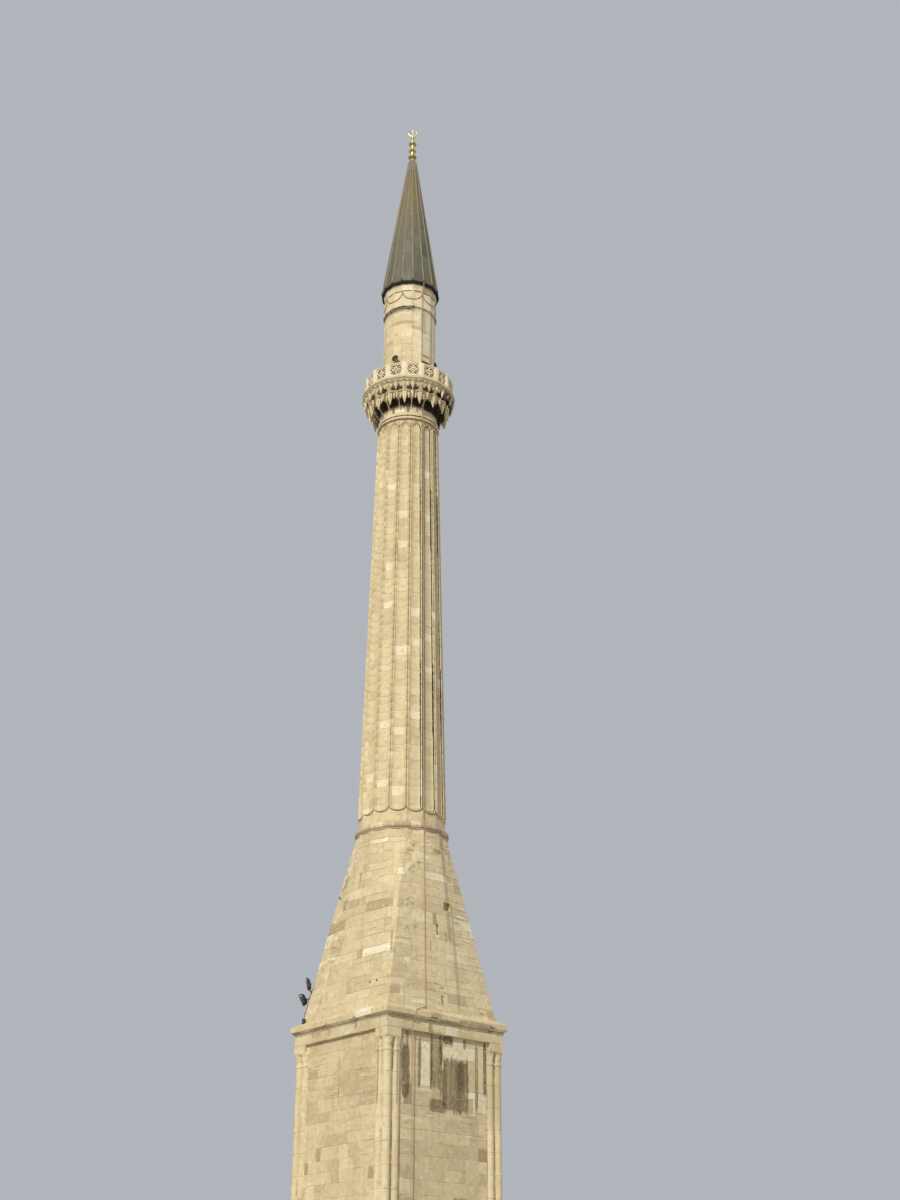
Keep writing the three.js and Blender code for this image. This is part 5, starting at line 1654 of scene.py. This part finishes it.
# Loudspeakers. Four re-entrant horns of painted sheet metal stand round the upper shaft just
# over the balcony, each on a bracket screwed to the stone.
HORN_ANGLE = 22.5
HORN_HEIGHT = 22.19
HORN_SIDES = 40
UPPER_WALL = UPPER_RADIUS * SIDE_COSINE


def painted_finish(name, dark, light, roughness, metallic):
    """Paint on metal: a colour by tone, dust and chips, and a faint orange-peel skin."""
    finish, shader, node, link = new_finish(name)
    place = node("TexCoord").outputs["Object"]
    tone = attribute(node, "tone")
    dust = noise(node, place, 7.0, 5.0, 0.6)
    fine = noise(node, place, 90.0, 4.0, 0.6)
    colour = mixed(node, tone, dark, light)
    colour = washed(node, colour, dust, 0.45, 0.75, 0.4, linear(150, 134, 108))
    colour = washed(node, colour, fine, 0.62, 0.72, 0.5, linear(96, 78, 60))
    link(colour, "Base Color")
    link(between(node, dust, 0.3, 0.7, roughness - 0.08, roughness + 0.14), "Roughness")
    shader.inputs["Metallic"].default_value = metallic
    roughen(node, link, fine, 0.2, 0.003)
    return finish


horn_paint = painted_finish("horn_paint", linear(36, 26, 18), linear(232, 216, 166), 0.7, 0.0)


def spot_at(facing, aside, reach, height):
    """A point at a reach from the axis towards a facing, and a little aside of it."""
    return sideways(facing) * aside + outward(facing) * reach + UP * height


def horn(angle):
    """A flared horn whose mouth faces outwards: the skin runs out along the flare, round the
    rolled rim, back down the dark throat and over the reflector in the middle."""
    outside = [(0, 0.004), (0.03, 0.004), (0.036, 0.01), (0.037, 0.034), (0.028, 0.042), (0.026, 0.05),
               (0.033, 0.06), (0.046, 0.074), (0.064, 0.086), (0.084, 0.095), (0.093, 0.0985),
               (0.0965, 0.101), (0.096, 0.104), (0.092, 0.1045)]
    inside = [(0.088, 0.101), (0.066, 0.088), (0.052, 0.08), (0.038, 0.067), (0.03, 0.056),
              (0.022, 0.054), (0.021, 0.07), (0.017, 0.082), (0.009, 0.086), (0, 0.087)]
    points, triangles, _ = turned(outside + inside, HORN_SIDES)
    points = points @ np.array([sideways(angle), UP, outward(angle)])
    points = points + spot_at(angle, 0, UPPER_WALL, HORN_HEIGHT)
    # The body takes a middle tone, the rim rows are pale, and the flare and throat go near black: partly dark
    # paint inside the horn, partly painted shade in its mouth.
    by_row = np.where(np.arange(len(outside + inside) - 3) < len(outside), 0.42, 0.0)
    by_row[len(outside) - 4:len(outside) - 1] = 0.95
    by_row[len(outside) - 1] = 0.12
    by_row[-3:] = 0.3
    tones = np.repeat(np.append(by_row, (0.85, 0.35)), [2 * HORN_SIDES] * len(by_row) + [HORN_SIDES] * 2)
    return points, triangles, tones


def box(centre, facing, half_sizes, tone):
    """A closed block with bevelled edges, given by its middle, facing and half sizes."""
    wide, deep, tall = half_sizes
    bevel = 0.003
    x, y = wide - bevel, deep - bevel
    outline = np.array([(-wide, -y), (-x, -deep), (x, -deep), (wide, -y), (wide, y), (x, deep), (-x, deep),
                        (-wide, y)])
    rings = []
    for height, shrink in ((-tall, bevel), (bevel - tall, 0), (tall - bevel, 0), (tall, bevel)):
        loop = outline * (1 - shrink / np.array([wide, deep]))
        rings.append(centre + loop @ np.array([sideways(facing), outward(facing)]) + height * UP)
    return (*lofted(rings), tone)


horn_parts = []
for angle in HORN_ANGLE + 90 * np.arange(4):
    horn_parts += [horn(angle),
                   box(spot_at(angle, 0, UPPER_WALL + 0.006, HORN_HEIGHT), angle, (0.03, 0.006, 0.055), 0.7),
                   box(spot_at(angle, 0, UPPER_WALL + 0.03, HORN_HEIGHT - 0.048), angle,
                       (0.01, 0.028, 0.006), 0.5)]
horns = piece("horn_loudspeakers", horn_parts, horn_paint, smooth=40)
for name in ("loudspeaker_front", "loudspeaker_right", "loudspeaker_back", "loudspeaker_left"):
    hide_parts(name)


# Junction boxes. Small boxes and plates are screwed to the upper shaft beside the loudspeakers,
# and a pale one is low on the right side of the transition.

# Facing, distance aside, reach, height, half sizes and tone
SMALL_BOXES = ((22.5, 0.012, UPPER_WALL + 0.016, 22.085, (0.022, 0.018, 0.026), 0.05),
               (22.5, -0.045, UPPER_WALL + 0.01, 22.105, (0.03, 0.012, 0.016), 0.95),
               (112.5, 0.045, UPPER_WALL + 0.018, 22.225, (0.035, 0.02, 0.045), 1.0),
               (90, -0.004, 1.304, 7.42, (0.034, 0.014, 0.06), 0.95))
small_parts = [box(spot_at(facing, *place), facing, half_sizes, tone)
               for facing, *place, half_sizes, tone in SMALL_BOXES]
piece("junction_boxes", small_parts, horn_paint)


# Floodlights. Two black cast housings with ribbed backs and glass fronts stand on bent arms
# that are bolted to a plate on the front left edge, with a cable down to a small box.
lamp_paint = painted_finish("lamp_paint", linear(24, 25, 30), linear(70, 72, 80), 0.38, 0.35)
LAMP_CORNER = 315
LAMP_BRACKET_HEIGHT = 7.6
LAMP_BRACKET_HALF = 0.12
LAMP_BOX_PLACE = np.array([-1.262, -1.372, 7.085])
LAMP_HALF_WIDTH = 0.075
LAMP_SIDES = 20
# Shares of a lamp's depth and of its width, from its back over its frame to the glass
LAMP_PROFILE = ((-0.5, 0.55), (-0.46, 0.7), (-0.3, 0.86), (-0.05, 0.94), (0.2, 0.97), (0.3, 0.97),
                (0.32, 1.0), (0.48, 1.0), (0.5, 0.97), (0.5, 0.86), (0.4, 0.84))
# Reach, height, length, depth, lean, distance aside, and how far the arm starts over the bracket
LAMPS = ((1.79, 7.81, 0.25, 0.07, 12, 0.095, 0.06), (1.915, 7.55, 0.24, 0.11, 26, -0.095, -0.04))


def edge_at(height):
    """The reach of the transition's front left edge at a height."""
    return float(np.interp(height, (PYRAMID_FOOT, PYRAMID_TOP),
                           (PYRAMID_HALF * math.sqrt(2), PYRAMID_TOP_RADIUS * SIDE_COSINE)))


def lamp_place(aside, reach, height):
    """A point beside the front left edge."""
    return spot_at(LAMP_CORNER, aside, reach, height)


def lamp_housing(reach, height, length, depth, lean, aside):
    """A rounded housing whose depth swells towards the middle of its back, with a raised
    frame round the glass on its outer face."""
    tilt = math.radians(lean)
    side, away = sideways(LAMP_CORNER), outward(LAMP_CORNER)
    long_way = UP * math.cos(tilt) + away * math.sin(tilt)
    deep_way = away * math.cos(tilt) - UP * math.sin(tilt)
    turn = np.arange(LAMP_SIDES)[:, None] * 2 * np.pi / LAMP_SIDES + 0.157
    square, other = (np.sign(way) * np.abs(way) ** 0.45 for way in (np.cos(turn), np.sin(turn)))
    centre = lamp_place(aside, reach, height)
    rings = [centre + deep_way * deep * depth + side * (square * LAMP_HALF_WIDTH * size)
             + long_way * (other * length / 2 * size) for deep, size in LAMP_PROFILE]
    points, triangles = lofted(rings)
    tones = np.full(len(triangles), 0.25)
    tones[2 * LAMP_SIDES * (len(LAMP_PROFILE) - 2):2 * LAMP_SIDES * (len(LAMP_PROFILE) - 1)] = 0.1
    tones[2 - LAMP_SIDES:] = 1.0
    parts = [(points, triangles, tones)]
    for rib in np.linspace(-0.7, 0.7, 7):
        middle = centre - deep_way * 0.4 * depth + long_way * rib * length * 0.36
        loop = np.array([middle + side * a * LAMP_HALF_WIDTH * 0.55 + deep_way * b * depth * 0.13
                         for a, b in square_corners(1)])
        parts.append((*lofted([loop - long_way * 0.003, loop + long_way * 0.003]), 0.3))
    return parts


def cable(places, radius, tone):
    """A round cable or rod through places, with its corners rounded off."""
    places = np.array(places, float)
    share = np.linspace(0, 1, 6)[:, None]
    corners = [places[:1]]
    for a, b, c in zip(places[:-2], places[1:-1], places[2:]):
        start, end = (b + (far - b) * min(0.35, 0.04 / np.linalg.norm(far - b)) for far in (a, c))
        corners.append((1 - share) ** 2 * start + 2 * share * (1 - share) * b + share ** 2 * end)
    path = np.concatenate(corners + [places[-1:]])
    along = unit(np.gradient(path, axis=0))
    across = unit(np.cross(along, np.where(np.abs(along[:, 2:]) > 0.9, (1.0, 0.3, 0.0), UP)))
    return (*swept(path, across, np.cross(along, across), radius, radius, 8), tone)


lamp_parts = []
for reach, height, length, depth, lean, aside, arm_rise in LAMPS:
    lamp_parts += lamp_housing(reach, height, length, depth, lean, aside)
    arm = LAMP_BRACKET_HEIGHT + arm_rise
    lamp_parts.append(cable([lamp_place(aside * 0.1, edge_at(arm) + 0.014, arm),
                             lamp_place(aside, edge_at(arm) + 0.075, (arm + height) / 2),
                             lamp_place(aside, reach - depth * 0.4, height)], 0.01, 0.35))
    for hand in (-1, 1):
        fork = aside + hand * (LAMP_HALF_WIDTH + 0.006)
        lamp_parts.append(cable([lamp_place(aside, reach - depth * 0.8, height),
                                 lamp_place(fork, reach - depth * 0.7, height),
                                 lamp_place(fork, reach, height)], 0.006, 0.3))
plate_loops = [np.array([lamp_place(a, edge_at(z) + b, z) for a, b in
                         ((-0.02, 0.012), (0.02, 0.012), (0.02, 0.02), (-0.02, 0.02))])
               for z in (LAMP_BRACKET_HEIGHT - LAMP_BRACKET_HALF, LAMP_BRACKET_HEIGHT + LAMP_BRACKET_HALF)]
lamp_parts.append((*lofted(plate_loops), 0.3))
cable_places = [lamp_place(0, edge_at(height) + 0.014, height) for height in (7.5, 7.12)]
lamp_parts += [cable([*cable_places, LAMP_BOX_PLACE + (0, 0, 0.02)], 0.007, 0.1),
               box(LAMP_BOX_PLACE, 0, (0.03, 0.024, 0.05), 0.15)]
lamps = piece("floodlight_pair", lamp_parts, lamp_paint, smooth=35)
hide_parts("floodlights")


# Small fittings. An iron bracket stands by the cornice on the right side of the transition,
# and a little lamp on a stub arm is high on its left edge.
BRACKET_PLACES = ((1.316, -0.028, 7.46), (1.322, -0.03, 7.31), (1.35, -0.026, 7.2))
STUB_ANGLE = 326.25
STUB_REACH = 1.186
STUB_HEIGHT = 9.47
stub = [spot_at(STUB_ANGLE, 0, STUB_REACH + out, STUB_HEIGHT + rise)
        for out, rise in ((0, 0), (0.03, 0), (0.045, 0.02), (0.05, 0.03))]
bracket_parts = [cable(BRACKET_PLACES, 0.006, 0.1), cable(stub[:3], 0.006, 0.1),
                 box(stub[3], STUB_ANGLE, (0.016, 0.016, 0.014), 1.0)]
piece("small_fittings", bracket_parts, lamp_paint)


# Lightning conductor. A sheathed copper tape, faded to reddish brown, runs down one arris from
# the finial to the balcony and from the corbel to the ground, held by small clips.
sheath = painted_finish("conductor_sheath", linear(176, 146, 114), linear(150, 122, 94), 0.65, 0.0)
finish_nodes(sheath, "lightning_conductor")
CONDUCTOR_ANGLE = 78.75
# First height, limit and spacing of the clips on the shaft and on the upper shaft
SHAFT_CLIPS = (11.3, 20.3, 0.55)
UPPER_CLIPS = (21.7, 23.6, 0.45)
clip_heights = np.concatenate([np.arange(*SHAFT_CLIPS), np.arange(*UPPER_CLIPS)])
clip_reach = np.where(clip_heights < SHAFT_TOP, shaft_radius(clip_heights), UPPER_RADIUS)
clip_parts = [box(spot_at(CONDUCTOR_ANGLE, 0, reach + 0.006, height), CONDUCTOR_ANGLE, (0.014, 0.014, 0.008),
                  0.4) for height, reach in zip(clip_heights, clip_reach)]
piece("conductor_clips", clip_parts, sheath)


# Doorway at the back. The way in to the stair has a plain frame of long stones: two jambs and
# a lintel that stand a little proud of the wall.
JAMB_OUTSIDE = DOOR_HALF_WIDTH + 0.13
LINTEL_END = DOOR_HALF_WIDTH + 0.17
LINTEL_TOP = DOOR_HEIGHT + 0.18
JAMB_FOOT = 0.504
frame_spans = np.array([(-JAMB_OUTSIDE, -DOOR_HALF_WIDTH, JAMB_FOOT, 0.8),
                        (-JAMB_OUTSIDE, -DOOR_HALF_WIDTH, 0.806, DOOR_HEIGHT),
                        (DOOR_HALF_WIDTH, JAMB_OUTSIDE, JAMB_FOOT, 0.84),
                        (DOOR_HALF_WIDTH, JAMB_OUTSIDE, 0.846, DOOR_HEIGHT),
                        (-LINTEL_END, LINTEL_END, DOOR_HEIGHT, LINTEL_TOP)])
frame_stones = blocks(on_side(180, PANEL_FACE), frame_spans, np.array([0.6, 0.75, 0.55, 0.7, 0.65]),
                      np.full(5, 0.024), lip=0.012, seat=0.002, edge=0.012)
piece("door_frame", [frame_stones], dressed_finish)


# Camera. It stands low on the ground well in front of the right front corner and looks up
# at the whole upper part of the tower.
CAMERA_PLACE = (24.656, -19.929, 0.8)
CAMERA_BEARING = math.radians(49.28)
CAMERA_PITCH = math.radians(25.97)
CAMERA_ROLL = math.radians(0.13)
camera_data = bpy.data.cameras.new("camera")
camera_data.lens = 48
camera_data.sensor_width = 36
camera_data.sensor_fit = "AUTO"
camera_data.clip_end = 200
camera = in_scene("camera", camera_data)
camera.location = CAMERA_PLACE
camera.rotation_euler = (Matrix.Rotation(CAMERA_BEARING, 3, "Z")
                         @ Matrix.Rotation(math.pi / 2 + CAMERA_PITCH, 3, "X")
                         @ Matrix.Rotation(CAMERA_ROLL, 3, "Z")).to_euler()
bpy.context.scene.camera = camera


# Floor and light: a plain pale floor, a soft sun from the front left and an even pale sky.
FLOOR_REACH = 300.0
SUN_STRENGTH = 2.85
SUN_HEIGHT = 36
SUN_BEARING = 30
SKY_COLOUR = (0.44, 0.46, 0.5, 1)

floor_mesh = bpy.data.meshes.new("studio_floor")
floor_mesh.from_pydata([(x * FLOOR_REACH, y * FLOOR_REACH, -0.002) for x, y in square_corners(1)], [],
                       [(0, 1, 2, 3)])
floor_mesh.materials.append(plain_finish("pale_floor", linear(196, 193, 186), 0.9))
studio_floor = in_scene("studio_floor", floor_mesh)
sun_data = bpy.data.lights.new("soft_sun", "SUN")
sun_data.energy = SUN_STRENGTH
sun_data.angle = math.radians(3.0)
sun_data.color = (1.0, 0.96, 0.88)
sun = in_scene("soft_sun", sun_data)
sun.rotation_euler = (math.radians(90 - SUN_HEIGHT), 0, math.radians(SUN_BEARING))
surrounding = bpy.data.worlds.new("pale_surrounding")
surrounding.use_nodes = True
surrounding.node_tree.nodes["Background"].inputs["Color"].default_value = SKY_COLOUR
bpy.context.scene.world = surrounding
bpy.context.scene.view_settings.view_transform = "Standard"
